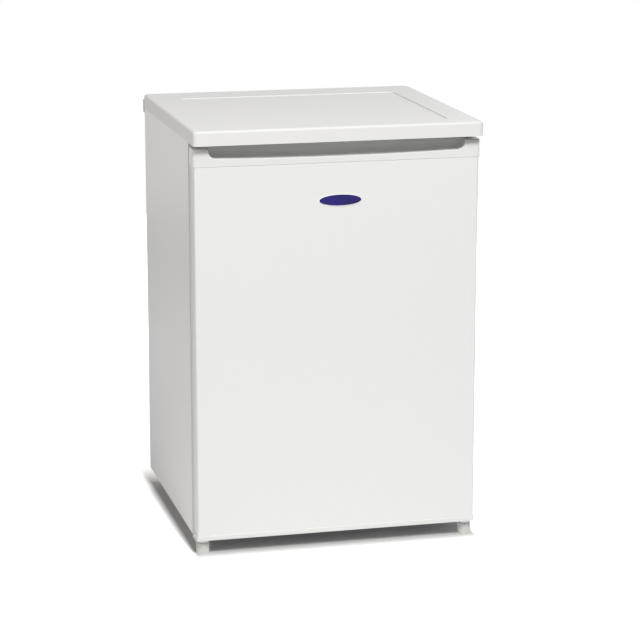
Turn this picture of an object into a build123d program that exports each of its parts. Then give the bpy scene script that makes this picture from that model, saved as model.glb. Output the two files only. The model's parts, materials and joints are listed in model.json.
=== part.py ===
from build123d import *
import os

os.makedirs("parts", exist_ok=True)

# Free-standing larder refrigerator with one door, 845 mm high. The origin is on the floor
# under the middle of the footprint, X points right for someone facing the door, the front
# is towards -Y and Z is up. All sizes are in millimetres.

# Outside sizes
cabinet_width = 571.0
cabinet_height = 783.0
worktop_depth = 546.0
worktop_height = 29.0
worktop_lap_side = 1.5
worktop_lap_back = 2.0
spacer_reach = 14.0

# Sheet steel and the walls filled with foam
sheet = 0.6
flange = 20.0
sheet_bend = 1.5
front_strip = 18.0
side_wall = 44.0
top_wall = 46.0
bottom_wall = 45.0
back_wall = 46.0
step_wall = 36.0
liner_wall = 1.2
liner_radius = 12.0

# Compressor bay and the recess behind the back wall that holds the condenser
bay_height = 190.0
bay_depth = 164.0
condenser_recess = 26.0

# Worktop
worktop_corner = 10.0
worktop_round = 5.0
worktop_rim = 3.0
worktop_skin = 2.0
worktop_board = 12.0
board_gap = 1.0
window_inset_side = 57.0
window_inset_front = 45.0
window_inset_back = 88.0
window_corner = 15.0
rib_thickness = 4.0
rib_spacing = 300.0

# Rear spacers
spacer_drop = 10.0
spacer_rise = 16.0
spacer_counterbore = 8.4
spacer_counterbore_depth = 4.0

# Door
door_setback = 18.0
door_thickness = 44.0
door_side_inset = 0.5
door_top_gap = 8.0
door_drop = 3.0
gasket_gap = 4.0
skin_inset = 2.0
skin_setback = 1.0
skin_edge = 5.0
top_trim_height = 35.5
bottom_trim_height = 10.0
trim_edge = 6.0
trim_top_edge = 2.0
trim_wall = 2.5
trim_groove = 1.0
pan_depth = 10.0
pan_radius = 8.0
dyke_gap = 6.0
dyke_width = 27.0
dyke_height = 24.0
dyke_radius = 6.0
gasket_width = 13.0
gasket_edge = 1.2
gasket_channel = 3.0
gasket_groove = 1.5
body_gap = 0.3

# Handle recess in the door's top trim
recess_inset = 31.0
recess_drop_middle = 22.7
recess_drop_end = 18.6
recess_corner = 14.0
recess_reach = 28.0
recess_scoop = 13.0
recess_overrun = 20.0
recess_lip = 1.5

# Badge, an oval plate without any mark
badge_length = 86.0
badge_height = 24.0
badge_thickness = 1.6
badge_dome = 0.6
badge_x = 4.0
badge_drop = 109.0

# Hinges, front feet and their brackets
hinge_inset = 16.0
hinge_back = 24.0
pin_diameter = 8.0
pin_play = 0.05
pin_collar = 2.7
pin_collar_diameter = 13.0
pin_reach = 15.5
bush_diameter = 14.0
bush_height = 18.0
bracket_sheet = 3.0
bracket_nose = 14.0
bracket_width = 52.0
bracket_length = 60.0
bracket_step_gap = 2.0
foot_hold = 10.0
foot_travel = 12.0
foot_gap = 2.0
foot_diameter = 25.8
foot_floor = 3.0
foot_ribs = 28
foot_rib_radius = 0.9
foot_chamfer = 1.0
insert_diameter = 12.0
insert_play = 0.3
stud_end_gap = 1.0
rear_foot_diameter = 30.0
rear_foot_inset = 37.0
rear_foot_from_back = 32.0
rear_foot_edge = 3.0

# Screws
screw_shank = 4.0
screw_head = 7.5
screw_head_height = 2.4
screw_length = 12.0
screw_recess = 1.2
screw_recess_width = 1.0
screw_pitch = 24.0
screw_back = 30.0

# Shelves and crisper
glass = 4.0
glass_gap = 3.0
glass_corner = 6.0
ledge_width = 8.0
ledge_height = 6.0
shelf_front_gap = 14.0
shelf_back_gap = 12.0
crisper_cover_rise = 187.0
top_shelf_drop = 56.0
shelf_pitch = 115.0
trim_depth = 14.0
trim_lap = 3.5
trim_end_gap = 2.0
crisper_wall = 2.5
crisper_gap = 1.5
crisper_lift = 0.5
crisper_height = 172.0
crisper_corner = 10.0
crisper_front_gap = 13.0
grip_length = 120.0
grip_depth = 6.0
grip_height = 15.0

# Thermostat box with its lamp, and the door's light switch
box_depth = 40.0
box_length = 180.0
box_height = 65.0
box_wall = 2.5
box_from_top = 15.0
box_from_front = 140.0
box_edge = 5.0
knob_diameter = 32.0
knob_height = 14.0
knob_edge = 2.0
knob_shaft = 8.0
knob_from_front = 32.0
knob_lift = 0.5
pointer_width = 3.0
pointer_height = 1.0
pointer_length = 12.0
lamp_window_length = 88.0
lamp_window_height = 44.0
lamp_window_from_back = 14.0
lamp_cover_depth = 2.0
lamp_diameter = 22.0
lamp_base_diameter = 14.0
lamp_base_length = 20.0
lamp_base_sink = 7.3
switch_offset = 7.0
switch_width = 10.0
switch_depth = 22.0
switch_height = 24.0
switch_from_top = 70.0
switch_travel = 6.0
plunger_diameter = 5.0
plunger_play = 0.1
plunger_hold = 6.0
plunger_edge = 0.8

# Door balconies
balcony_depth = 100.0
balcony_wall = 2.5
balcony_gap = 1.0
balcony_edge = 8.0
lug_width = 6.0
lug_depth = 16.0
lug_height = 8.0
lug_from_pan = 6.0
bottle_balcony_rise = 11.0
bottle_balcony_height = 95.0
middle_balcony_rise = 289.0
middle_balcony_height = 75.0
dairy_balcony_drop = 78.0
dairy_balcony_height = 60.0

# Cooling circuit
condenser_tube_diameter = 4.8
condenser_gap = 13.0
condenser_inset = 75.5
condenser_from_top = 76.0
condenser_pitch = 54.0
condenser_runs = 9
bend_share = 0.42
riser_gap = 22.0
wire_diameter = 1.4
wire_inset = 30.0
wire_columns = 25
wire_overrun = 12.0
clip_width = 8.0
clip_height = 16.0
clip_cap = 3.0
clip_share = 0.875
drier_diameter = 16.0
drier_length = 90.0
drier_from_base = 60.0
drier_taper = 12.0
evaporator_sheet = 1.5
evaporator_inset = 51.5
evaporator_from_top = 70.0
evaporator_tube_diameter = 6.0
evaporator_embed = 0.5
evaporator_runs = 9
evaporator_pitch = 44.0
evaporator_margin = 20.0
suction_diameter = 8.0
capillary_diameter = 2.4
line_gap = 30.0
line_bend = 14.0
drain_diameter = 14.0
drain_wall = 1.5
drain_funnel = 20.0
drain_funnel_height = 1.5
drain_from_back = 2.0
drain_end_gap = 6.0

# Compressor and what it stands on
compressor_length = 180.0
compressor_width = 128.0
compressor_height = 137.0
compressor_corner = 36.0
compressor_crown = 26.0
compressor_sole = 16.0
compressor_x = -30.0
compressor_shell_wall = 3.0
weld_width = 3.0
weld_height = 5.0
mount_sheet = 3.0
mount_hole_x = 95.0
mount_hole_y = 45.0
mount_margin = 12.0
grommet_diameter = 22.0
grommet_neck = 14.0
grommet_foot = 9.7
grommet_cap = 3.0
bolt_diameter = 6.0
bolt_head = 11.0
bolt_head_height = 4.0
pump_diameter = 90.0
pump_height = 95.0
pump_leg_height = 19.0
pump_leg_diameter = 10.0
pump_leg_spread = 56.0
base_plate_sheet = 1.5
base_plate_lip = 25.0
base_plate_gap = 8.0
relay_depth = 40.0
relay_width = 44.0
relay_height = 60.0
relay_wall = 2.0
relay_rise = 35.0
relay_edge = 4.0
tray_length = 160.0
tray_width = 110.0
tray_height = 22.0
tray_wall = 1.5
tray_corner = 12.0
discharge_rise = 50.0
suction_rise = 88.0
stub_spread = 28.0
stub_length = 25.0
gland_bore = 8.0
gland_neck = 12.0
gland_flange = 18.0
gland_flange_length = 3.0
gland_inside = 8.0
gland_inset = 135.5

# Places worked out from the sizes above, from the front to the back
overall_depth = worktop_depth + spacer_reach
worktop_front = -overall_depth / 2
worktop_back = worktop_front + worktop_depth
worktop_middle = (worktop_front + worktop_back) / 2
spacer_end = worktop_back + spacer_reach
door_front = worktop_front + door_setback
door_back = door_front + door_thickness
skin_front = door_front + skin_setback
pan_front = door_back - pan_depth
cabinet_front = door_back + gasket_gap
cabinet_back = worktop_back - worktop_lap_back
recess_face = cabinet_back - condenser_recess
cavity_back = recess_face - back_wall
bay_front = cabinet_back - bay_depth
step_front = bay_front - step_wall
hinge_y = door_front + hinge_back

# From the middle to the side
cabinet_side = cabinet_width / 2
worktop_side = cabinet_side + worktop_lap_side
door_side = cabinet_side - door_side_inset
skin_side = door_side - skin_inset
inner_side = cabinet_side - sheet
panel_side = cabinet_side - flange
cavity_side = cabinet_side - side_wall
dyke_side = cavity_side - dyke_gap
hinge_x = cabinet_side - hinge_inset
recess_half_width = door_side - recess_inset
condenser_half_width = cabinet_side - condenser_inset
evaporator_half_width = cavity_side - evaporator_inset
gland_x = cabinet_side - gland_inset

# From the floor up
foot_height = foot_travel + foot_hold
plate_bottom = foot_height + foot_gap
plate_top = plate_bottom + bracket_sheet
door_bottom = plate_top + pin_collar + body_gap
cabinet_bottom = door_bottom + door_drop
cabinet_top = cabinet_bottom + cabinet_height
worktop_top = cabinet_top + worktop_height
board_bottom = worktop_top - worktop_skin - worktop_board
door_top = cabinet_top - door_top_gap
skin_bottom = door_bottom + bottom_trim_height
skin_top = door_top - top_trim_height
cavity_bottom = cabinet_bottom + bottom_wall
cavity_top = cabinet_top - top_wall
bay_top = cabinet_bottom + bay_height
step_top = bay_top + step_wall


def block(xs, ys, zs, mode=Mode.ADD):
    """Box of the open part between two values on each axis."""
    spans = (xs, ys, zs)
    with Locations(tuple((low + high) / 2 for low, high in spans)):
        Box(*(high - low for low, high in spans), mode=mode)


def both(half):
    """The span that reaches the same distance to the left and to the right."""
    return (-half, half)


def sided(hand, inner, outer):
    """The span from inner to outer on the right for hand 1, or mirrored to the left for -1."""
    return (inner, outer) if hand > 0 else (-outer, -inner)


def save(builder, name):
    """Labels a finished piece and writes it under its own name."""
    builder.part.label = name
    export_step(builder.part, f"parts/{name}.step")


def bent_tube(points, diameter, bend):
    """Tube along straight runs that are joined by tangent bends."""
    with BuildPart() as tube:
        with BuildLine():
            route = FilletPolyline(*points, radius=bend)
        with BuildSketch(Plane(origin=route @ 0, z_dir=route % 0)):
            Circle(diameter / 2)
        sweep()
    return tube


def zigzag(depth, half_width, top, pitch, runs, first):
    """Corner points of a tube that runs to and fro; first is the end that it starts from."""
    points = []
    for run in range(runs):
        height = top - run * pitch
        start = first if run % 2 == 0 else -first
        points.append((start * half_width, depth, height))
        points.append((-start * half_width, depth, height))
    return points


# Screws that hold the hinge brackets, the foot bracket and the rear spacers
bracket_seat = cabinet_bottom - bracket_sheet
screw_front = cabinet_front + screw_back
spacer_screw_z = cabinet_top - spacer_drop / 2
spacer_seat = spacer_end - spacer_counterbore_depth
screw_seats = []
for hand in (-1, 1):
    for column in (0, 1):
        spot = (hand * (hinge_x - column * screw_pitch), screw_front, bracket_seat)
        screw_seats.append(Plane(origin=spot, z_dir=(0, 0, -1)))
    spot = (hand * (cabinet_side - flange / 2), spacer_seat, spacer_screw_z)
    screw_seats.append(Plane(origin=spot, z_dir=(0, 1, 0)))
for row in (0, 1):
    spot = (hinge_x, screw_front + row * screw_pitch, cabinet_top + bracket_sheet)
    screw_seats.append(Plane(origin=spot, z_dir=(0, 0, 1)))

with BuildPart() as cabinet_screws:
    for seat in screw_seats:
        with BuildSketch(seat):
            Circle(screw_head / 2)
        extrude(amount=screw_head_height)
        with BuildSketch(seat):
            Circle(screw_shank / 2)
        extrude(amount=-screw_length)
        with BuildSketch(seat.offset(screw_head_height)):
            Rectangle(screw_head / 2, screw_recess_width)
            Rectangle(screw_recess_width, screw_head / 2)
        extrude(amount=-screw_recess, mode=Mode.SUBTRACT)
save(cabinet_screws, "cabinet_screws")


# Worktop: a moulded frame round a board that shows in its window
window_front = worktop_front + window_inset_front
window_back = worktop_back - window_inset_back
with BuildPart() as worktop_frame:
    with BuildSketch(Plane.XY.offset(cabinet_top)):
        with Locations((0, worktop_middle)):
            RectangleRounded(2 * worktop_side, worktop_depth, worktop_corner)
    extrude(amount=worktop_height)
    fillet(worktop_frame.faces().sort_by(Axis.Z)[-1].edges(), worktop_round)
    with BuildSketch(Plane.XY.offset(cabinet_top)):
        with Locations((0, worktop_middle)):
            RectangleRounded(
                2 * (worktop_side - worktop_rim),
                worktop_depth - 2 * worktop_rim,
                worktop_corner - worktop_rim,
            )
    extrude(amount=worktop_height - worktop_skin, mode=Mode.SUBTRACT)
    with BuildSketch(Plane.XY.offset(cabinet_top)):
        with Locations((0, (window_front + window_back) / 2)):
            RectangleRounded(
                2 * (worktop_side - window_inset_side),
                window_back - window_front,
                window_corner,
            )
    extrude(amount=worktop_height, mode=Mode.SUBTRACT)
    for hand in (-1, 1):
        rib = hand * rib_spacing / 2
        block(
            (rib - rib_thickness / 2, rib + rib_thickness / 2),
            (worktop_front + worktop_rim, worktop_back - worktop_rim),
            (cabinet_top, board_bottom),
        )
save(worktop_frame, "worktop_frame")

with BuildPart() as worktop_panel:
    with BuildSketch(Plane.XY.offset(board_bottom)):
        with Locations((0, worktop_middle)):
            RectangleRounded(
                2 * (worktop_side - worktop_rim - board_gap),
                worktop_depth - 2 * (worktop_rim + board_gap),
                worktop_corner - worktop_rim,
            )
    extrude(amount=worktop_board)
save(worktop_panel, "worktop_panel")


# Spacers that keep the cabinet off the wall
with BuildPart() as rear_spacers:
    for hand in (-1, 1):
        width = sided(hand, panel_side, cabinet_side)
        block(width, (cabinet_back, spacer_end), (cabinet_top - spacer_drop, cabinet_top))
        block(width, (worktop_back, spacer_end), (cabinet_top, cabinet_top + spacer_rise))
        spot = (hand * (cabinet_side - flange / 2), spacer_seat, spacer_screw_z)
        with BuildSketch(Plane(origin=spot, z_dir=(0, 1, 0))):
            Circle(spacer_counterbore / 2)
        extrude(amount=spacer_counterbore_depth, mode=Mode.SUBTRACT)
    add(cabinet_screws.part, mode=Mode.SUBTRACT)
save(rear_spacers, "rear_spacers")


# Steel sides, each a shallow tray with its edges turned inwards
def side_panel(hand):
    """Outer side sheet; hand is -1 for the left one and 1 for the right one."""
    with BuildPart() as panel:
        block(
            sided(hand, panel_side, cabinet_side),
            (cabinet_front, cabinet_back),
            (cabinet_bottom, cabinet_top),
        )
        outer_face = panel.faces().sort_by(Axis.X)[-1 if hand > 0 else 0]
        fillet(outer_face.edges().filter_by(Axis.Z), sheet_bend)
        block(
            sided(hand, panel_side, inner_side),
            (cabinet_front + sheet, cabinet_back - sheet),
            (cabinet_bottom + sheet, cabinet_top - sheet),
            mode=Mode.SUBTRACT,
        )
        add(cabinet_screws.part, mode=Mode.SUBTRACT)
    return panel


side_panel_left = side_panel(-1)
side_panel_right = side_panel(1)
save(side_panel_left, "side_panel_left")
save(side_panel_right, "side_panel_right")


# Tubes that pass through the sheets: suction line, capillary and drain
bay_middle = (bay_front + cabinet_back - base_plate_gap) / 2
base_top = cabinet_bottom + sheet + base_plate_sheet
mount_bottom = base_top + grommet_foot
mount_top = mount_bottom + mount_sheet
compressor_top = mount_top + compressor_height
compressor_left = compressor_x - compressor_length / 2
compressor_right = compressor_x + compressor_length / 2
evaporator_face = cavity_back + liner_wall + evaporator_sheet
evaporator_y = evaporator_face + evaporator_tube_diameter / 2 - evaporator_embed
evaporator_top = cavity_top - evaporator_from_top
evaporator_bottom = evaporator_top - (evaporator_runs - 1) * evaporator_pitch
evaporator_turn = evaporator_half_width - evaporator_margin
suction_x = -evaporator_turn - line_gap
suction_y = evaporator_face + suction_diameter / 2
stub_y = bay_middle + stub_spread / 2
stub_x = compressor_left - stub_length
suction_z = mount_top + suction_rise

suction_tube = bent_tube(
    [
        (compressor_left, stub_y, suction_z),
        (stub_x, stub_y, suction_z),
        (suction_x, suction_y, suction_z),
        (suction_x, suction_y, evaporator_bottom),
        (-evaporator_turn, suction_y, evaporator_bottom),
    ],
    suction_diameter,
    line_bend,
)
save(suction_tube, "suction_tube")

condenser_y = recess_face + condenser_gap
condenser_top = cabinet_top - condenser_from_top
condenser_bottom = condenser_top - (condenser_runs - 1) * condenser_pitch
riser_x = condenser_half_width + riser_gap
drier_bottom = base_top + drier_from_base
drier_top = drier_bottom + drier_length
capillary_low = drier_bottom - line_gap
capillary_x = evaporator_turn + line_gap

capillary_tube = bent_tube(
    [
        (riser_x, condenser_y, drier_bottom),
        (riser_x, condenser_y, capillary_low),
        (capillary_x, condenser_y - line_gap, capillary_low),
        (capillary_x, evaporator_y, capillary_low + line_gap),
        (capillary_x, evaporator_y, evaporator_top),
        (evaporator_turn, evaporator_y, evaporator_top),
    ],
    capillary_diameter,
    line_bend,
)
save(capillary_tube, "capillary_tube")

drain_y = cavity_back - liner_radius - drain_funnel / 2 - drain_from_back
tray_top = compressor_top + tray_height
with BuildPart() as drain_tube:
    with Locations((0, drain_y, (tray_top - drain_end_gap + step_top) / 2)):
        Cylinder(drain_diameter / 2, step_top - tray_top + drain_end_gap)
    with Locations((0, drain_y, step_top + drain_funnel_height / 2)):
        Cylinder(drain_funnel / 2, drain_funnel_height)
    with Locations((0, drain_y, (tray_top + step_top) / 2)):
        Cylinder(drain_diameter / 2 - drain_wall, step_top, mode=Mode.SUBTRACT)
save(drain_tube, "drain_tube")


# Sheets that close the cabinet between its sides
with BuildPart() as top_panel:
    block(both(panel_side), (cabinet_front, cabinet_back), (cabinet_top - sheet, cabinet_top))
    lip = (cabinet_top - front_strip, cabinet_top - sheet)
    block(both(panel_side), (cabinet_front, cabinet_front + sheet), lip)
    block(both(panel_side), (cabinet_back - sheet, cabinet_back), lip)
    add(cabinet_screws.part, mode=Mode.SUBTRACT)
save(top_panel, "top_panel")

with BuildPart() as base_panel:
    floor_sheet = (cabinet_bottom, cabinet_bottom + sheet)
    lip = (cabinet_bottom + sheet, cabinet_bottom + front_strip)
    block(both(panel_side), (cabinet_front, bay_front), floor_sheet)
    block(both(panel_side), (cabinet_front, cabinet_front + sheet), lip)
    riser = (cabinet_bottom + sheet, bay_top + sheet)
    block(both(inner_side), (bay_front - sheet, bay_front), riser)
    block(both(inner_side), (bay_front, recess_face), (bay_top, bay_top + sheet))
    for passing in (cabinet_screws, suction_tube, capillary_tube):
        add(passing.part, mode=Mode.SUBTRACT)
    with Locations((0, drain_y, bay_top)):
        Cylinder(drain_diameter / 2, 2 * sheet, mode=Mode.SUBTRACT)
save(base_panel, "base_panel")

with BuildPart() as back_panel:
    block(
        both(inner_side),
        (recess_face - sheet, recess_face),
        (bay_top + sheet, cabinet_top - sheet),
    )
save(back_panel, "back_panel")


# Inner liner, a thin plastic box with a step over the compressor bay
def storage_space(grow):
    """The room inside the liner as a solid, larger by grow on every walled side."""
    with BuildPart() as space:
        with BuildSketch(Plane.YZ.offset(-cavity_side - grow)):
            with BuildLine():
                Polyline(
                    (cabinet_front, cavity_bottom - grow),
                    (step_front + grow, cavity_bottom - grow),
                    (step_front + grow, step_top - grow),
                    (cavity_back + grow, step_top - grow),
                    (cavity_back + grow, cavity_top + grow),
                    (cabinet_front, cavity_top + grow),
                    close=True,
                )
            make_face()
        extrude(amount=2 * (cavity_side + grow))
        front_edges = space.faces().sort_by(Axis.Y)[0].edges()
        fillet(space.edges() - front_edges, liner_radius + grow)
    return space


box_top = cavity_top - box_from_top
box_bottom = box_top - box_height
top_shelf_z = box_bottom - top_shelf_drop - glass
shelf_heights = {
    "crisper_cover": cavity_bottom + crisper_cover_rise,
    "lower_shelf": top_shelf_z - 2 * shelf_pitch,
    "middle_shelf": top_shelf_z - shelf_pitch,
    "top_shelf": top_shelf_z,
}
shelf_front = door_back + balcony_depth + shelf_front_gap
shelf_back = cavity_back - shelf_back_gap
switch_x = cavity_side + switch_offset
switch_z = cavity_top - switch_from_top
flange_back = cabinet_front + liner_wall

storage = storage_space(0)
liner_outside = storage_space(liner_wall)
with BuildPart() as inner_liner:
    add(liner_outside.part)
    block(
        both(panel_side),
        (cabinet_front, flange_back),
        (cabinet_bottom + front_strip, cabinet_top - front_strip),
    )
    add(storage.part, mode=Mode.SUBTRACT)
    for height in shelf_heights.values():
        for hand in (-1, 1):
            block(
                sided(hand, cavity_side - ledge_width, cavity_side),
                (shelf_front, cavity_back - liner_radius),
                (height - ledge_height, height),
            )
    with Locations((0, drain_y, step_top)):
        Cylinder(drain_diameter / 2, 2 * liner_radius, mode=Mode.SUBTRACT)
    with BuildSketch(Plane.XZ.offset(-cabinet_front)):
        with Locations((switch_x, switch_z)):
            Circle(plunger_diameter / 2 + plunger_play)
    extrude(amount=-liner_wall, mode=Mode.SUBTRACT)
save(inner_liner, "inner_liner")


# Evaporator, an aluminium plate with its tube bonded to the back of the liner
with BuildPart() as evaporator:
    block(
        both(evaporator_half_width),
        (cavity_back + liner_wall, evaporator_face),
        (evaporator_bottom - evaporator_margin, evaporator_top + evaporator_margin),
    )
    channel = bent_tube(
        zigzag(
            evaporator_y,
            evaporator_turn,
            evaporator_top,
            evaporator_pitch,
            evaporator_runs,
            1,
        ),
        evaporator_tube_diameter,
        evaporator_pitch * bend_share,
    )
    add(channel.part)
save(evaporator, "evaporator")


# Light switch behind the liner's front edge, pushed in by the closed door
plunger_tip = door_back + body_gap
plunger_inside = switch_travel + plunger_hold
plunger_end = flange_back + plunger_inside
with BuildPart() as light_switch_body:
    block(
        (switch_x - switch_width / 2, switch_x + switch_width / 2),
        (flange_back, flange_back + switch_depth),
        (switch_z - switch_height / 2, switch_z + switch_height / 2),
    )
    with BuildSketch(Plane.XZ.offset(-flange_back)):
        with Locations((switch_x, switch_z)):
            Circle(plunger_diameter / 2 + plunger_play)
    extrude(amount=-plunger_inside - body_gap, mode=Mode.SUBTRACT)
save(light_switch_body, "light_switch_body")

with BuildPart() as light_switch_plunger:
    with BuildSketch(Plane.XZ.offset(-plunger_end)):
        with Locations((switch_x, switch_z)):
            Circle(plunger_diameter / 2)
    extrude(amount=plunger_end - plunger_tip)
    fillet(light_switch_plunger.faces().sort_by(Axis.Y)[0].edges(), plunger_edge)
save(light_switch_plunger, "light_switch_plunger")


# Foam that fills what the sheets and the liner leave between them
with BuildPart() as cabinet_foam:
    with BuildSketch(Plane.YZ.offset(-inner_side)):
        with BuildLine():
            Polyline(
                (flange_back, cabinet_bottom + sheet),
                (bay_front - sheet, cabinet_bottom + sheet),
                (bay_front - sheet, bay_top + sheet),
                (recess_face - sheet, bay_top + sheet),
                (recess_face - sheet, cabinet_top - sheet),
                (flange_back, cabinet_top - sheet),
                close=True,
            )
        make_face()
    extrude(amount=2 * inner_side)
    for neighbour in (liner_outside, inner_liner, evaporator, suction_tube, capillary_tube):
        add(neighbour.part, mode=Mode.SUBTRACT)
    add(cabinet_screws.part, mode=Mode.SUBTRACT)
    with Locations((0, drain_y, (bay_top + step_top) / 2)):
        Cylinder(drain_diameter / 2, step_wall, mode=Mode.SUBTRACT)
    block(
        (switch_x - switch_width / 2, switch_x + switch_width / 2),
        (flange_back, flange_back + switch_depth),
        (switch_z - switch_height / 2, switch_z + switch_height / 2),
        mode=Mode.SUBTRACT,
    )
save(cabinet_foam, "cabinet_foam")


# Condenser behind the back wall: one tube from the compressor to the drier
discharge_y = bay_middle - stub_spread / 2
discharge_z = mount_top + discharge_rise
turns = zigzag(
    condenser_y,
    condenser_half_width,
    condenser_top,
    condenser_pitch,
    condenser_runs,
    -1,
)
condenser_tube = bent_tube(
    [
        (compressor_left, discharge_y, discharge_z),
        (-riser_x, discharge_y, discharge_z),
        (-riser_x, condenser_y, discharge_z),
        (-riser_x, condenser_y, condenser_top),
        *turns[1:-1],
        (riser_x, condenser_y, condenser_bottom),
        (riser_x, condenser_y, drier_top),
    ],
    condenser_tube_diameter,
    condenser_pitch * bend_share,
)
save(condenser_tube, "condenser_tube")

# Upright wires on both sides of the condenser tube
wire_rows = condenser_tube_diameter + wire_diameter
wire_half_width = condenser_half_width - wire_inset
wire_pitch = 2 * wire_half_width / (wire_columns - 1)
with BuildPart() as condenser_wires:
    with BuildSketch(Plane.XY.offset(condenser_bottom - wire_overrun)):
        with Locations((0, condenser_y)):
            with GridLocations(wire_pitch, wire_rows, wire_columns, 2):
                Circle(wire_diameter / 2)
    extrude(amount=condenser_top - condenser_bottom + 2 * wire_overrun)
save(condenser_wires, "condenser_wires")

# Clips that hold the second and the last run but one to the back panel
with BuildPart() as condenser_clips:
    for run in (1, condenser_runs - 2):
        height = condenser_top - run * condenser_pitch
        for hand in (-1, 1):
            middle = hand * clip_share * wire_half_width
            block(
                (middle - clip_width / 2, middle + clip_width / 2),
                (recess_face, condenser_y + condenser_tube_diameter / 2 + clip_cap),
                (height - clip_height / 2, height + clip_height / 2),
            )
    add(condenser_tube.part, mode=Mode.SUBTRACT)
save(condenser_clips, "condenser_clips")

# Filter drier, a small can with tapered ends between the condenser and the capillary
with BuildPart() as filter_drier:
    upright = Plane(origin=(riser_x, condenser_y, 0), x_dir=(1, 0, 0), z_dir=(0, -1, 0))
    with BuildSketch(upright):
        with BuildLine():
            Polyline(
                (0, drier_bottom),
                (capillary_diameter, drier_bottom),
                (drier_diameter / 2, drier_bottom + drier_taper),
                (drier_diameter / 2, drier_top - drier_taper),
                (condenser_tube_diameter / 2, drier_top),
                (0, drier_top),
                close=True,
            )
        make_face()
    revolve(axis=Axis((riser_x, condenser_y, 0), (0, 0, 1)))
save(filter_drier, "filter_drier")


# Compressor on its rubber feet, and the plate across the bay that carries it
mount_columns = 2 * mount_hole_x
mount_rows = 2 * mount_hole_y
bolt_seat = mount_top + grommet_cap

with BuildPart() as compressor_bolts:
    with BuildSketch(Plane.XY.offset(bolt_seat)):
        with Locations((compressor_x, bay_middle)):
            with GridLocations(mount_columns, mount_rows, 2, 2):
                RegularPolygon(bolt_head / 2, 6)
    extrude(amount=bolt_head_height)
    with BuildSketch(Plane.XY.offset(cabinet_bottom + sheet)):
        with Locations((compressor_x, bay_middle)):
            with GridLocations(mount_columns, mount_rows, 2, 2):
                Circle(bolt_diameter / 2)
    extrude(amount=bolt_seat - cabinet_bottom - sheet)
save(compressor_bolts, "compressor_bolts")

with BuildPart() as compressor_grommets:
    for diameter, low, high in (
        (grommet_diameter, base_top, mount_bottom),
        (grommet_neck, mount_bottom, mount_top),
        (grommet_diameter, mount_top, bolt_seat),
    ):
        with BuildSketch(Plane.XY.offset(low)):
            with Locations((compressor_x, bay_middle)):
                with GridLocations(mount_columns, mount_rows, 2, 2):
                    Circle(diameter / 2)
        extrude(amount=high - low)
    add(compressor_bolts.part, mode=Mode.SUBTRACT)
save(compressor_grommets, "compressor_grommets")


def compressor_can(shrink):
    """The compressor's rounded can as a solid, smaller by shrink all round."""
    with BuildPart() as can:
        with BuildSketch(Plane.XY.offset(mount_top + shrink)):
            with Locations((compressor_x, bay_middle)):
                RectangleRounded(
                    compressor_length - 2 * shrink,
                    compressor_width - 2 * shrink,
                    compressor_corner - shrink,
                )
        extrude(amount=compressor_height - 2 * shrink)
        fillet(can.faces().sort_by(Axis.Z)[-1].edges(), compressor_crown - shrink)
        fillet(can.faces().sort_by(Axis.Z)[0].edges(), compressor_sole - shrink)
    return can


with BuildPart() as compressor_shell:
    add(compressor_can(0).part)
    weld_bottom = mount_top + (compressor_height - weld_height) / 2
    with BuildSketch(Plane.XY.offset(weld_bottom)):
        with Locations((compressor_x, bay_middle)):
            RectangleRounded(
                compressor_length + 2 * weld_width,
                compressor_width + 2 * weld_width,
                compressor_corner + weld_width,
            )
    extrude(amount=weld_height)
    with BuildSketch(Plane.XY.offset(mount_bottom)):
        with Locations((compressor_x, bay_middle)):
            RectangleRounded(
                mount_columns + 2 * mount_margin,
                mount_rows + 2 * mount_margin,
                mount_margin,
            )
            with GridLocations(mount_columns, mount_rows, 2, 2):
                Circle(grommet_neck / 2, mode=Mode.SUBTRACT)
    extrude(amount=mount_sheet)
    add(compressor_can(compressor_shell_wall).part, mode=Mode.SUBTRACT)
save(compressor_shell, "compressor_shell")

with BuildPart() as compressor_pump:
    pump_floor = mount_top + compressor_shell_wall
    with BuildSketch(Plane.XY.offset(pump_floor)):
        with Locations((compressor_x, bay_middle)):
            with GridLocations(pump_leg_spread, pump_leg_spread, 2, 2):
                Circle(pump_leg_diameter / 2)
    extrude(amount=pump_leg_height)
    with BuildSketch(Plane.XY.offset(pump_floor + pump_leg_height)):
        with Locations((compressor_x, bay_middle)):
            Circle(pump_diameter / 2)
    extrude(amount=pump_height)
save(compressor_pump, "compressor_pump")

# Cover of the starting relay on the compressor's right end
with BuildPart() as relay_cover:
    relay_bottom = mount_top + relay_rise
    relay_end = compressor_right + relay_depth
    block(
        (compressor_right, relay_end),
        (bay_middle - relay_width / 2, bay_middle + relay_width / 2),
        (relay_bottom, relay_bottom + relay_height),
    )
    fillet(relay_cover.faces().sort_by(Axis.X)[-1].edges(), relay_edge)
    block(
        (compressor_right, relay_end - relay_wall),
        (bay_middle - relay_width / 2 + relay_wall, bay_middle + relay_width / 2 - relay_wall),
        (relay_bottom + relay_wall, relay_bottom + relay_height - relay_wall),
        mode=Mode.SUBTRACT,
    )
    add(compressor_shell.part, mode=Mode.SUBTRACT)
save(relay_cover, "relay_cover")

# Tray on the compressor that the meltwater dries up in
with BuildPart() as evaporation_tray:
    with BuildSketch(Plane.XY.offset(compressor_top)):
        with Locations((compressor_x, bay_middle)):
            RectangleRounded(tray_length, tray_width, tray_corner)
    extrude(amount=tray_height)
    with BuildSketch(Plane.XY.offset(compressor_top + tray_wall)):
        with Locations((compressor_x, bay_middle)):
            RectangleRounded(
                tray_length - 2 * tray_wall,
                tray_width - 2 * tray_wall,
                tray_corner - tray_wall,
            )
    extrude(amount=tray_height, mode=Mode.SUBTRACT)
save(evaporation_tray, "evaporation_tray")

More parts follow.
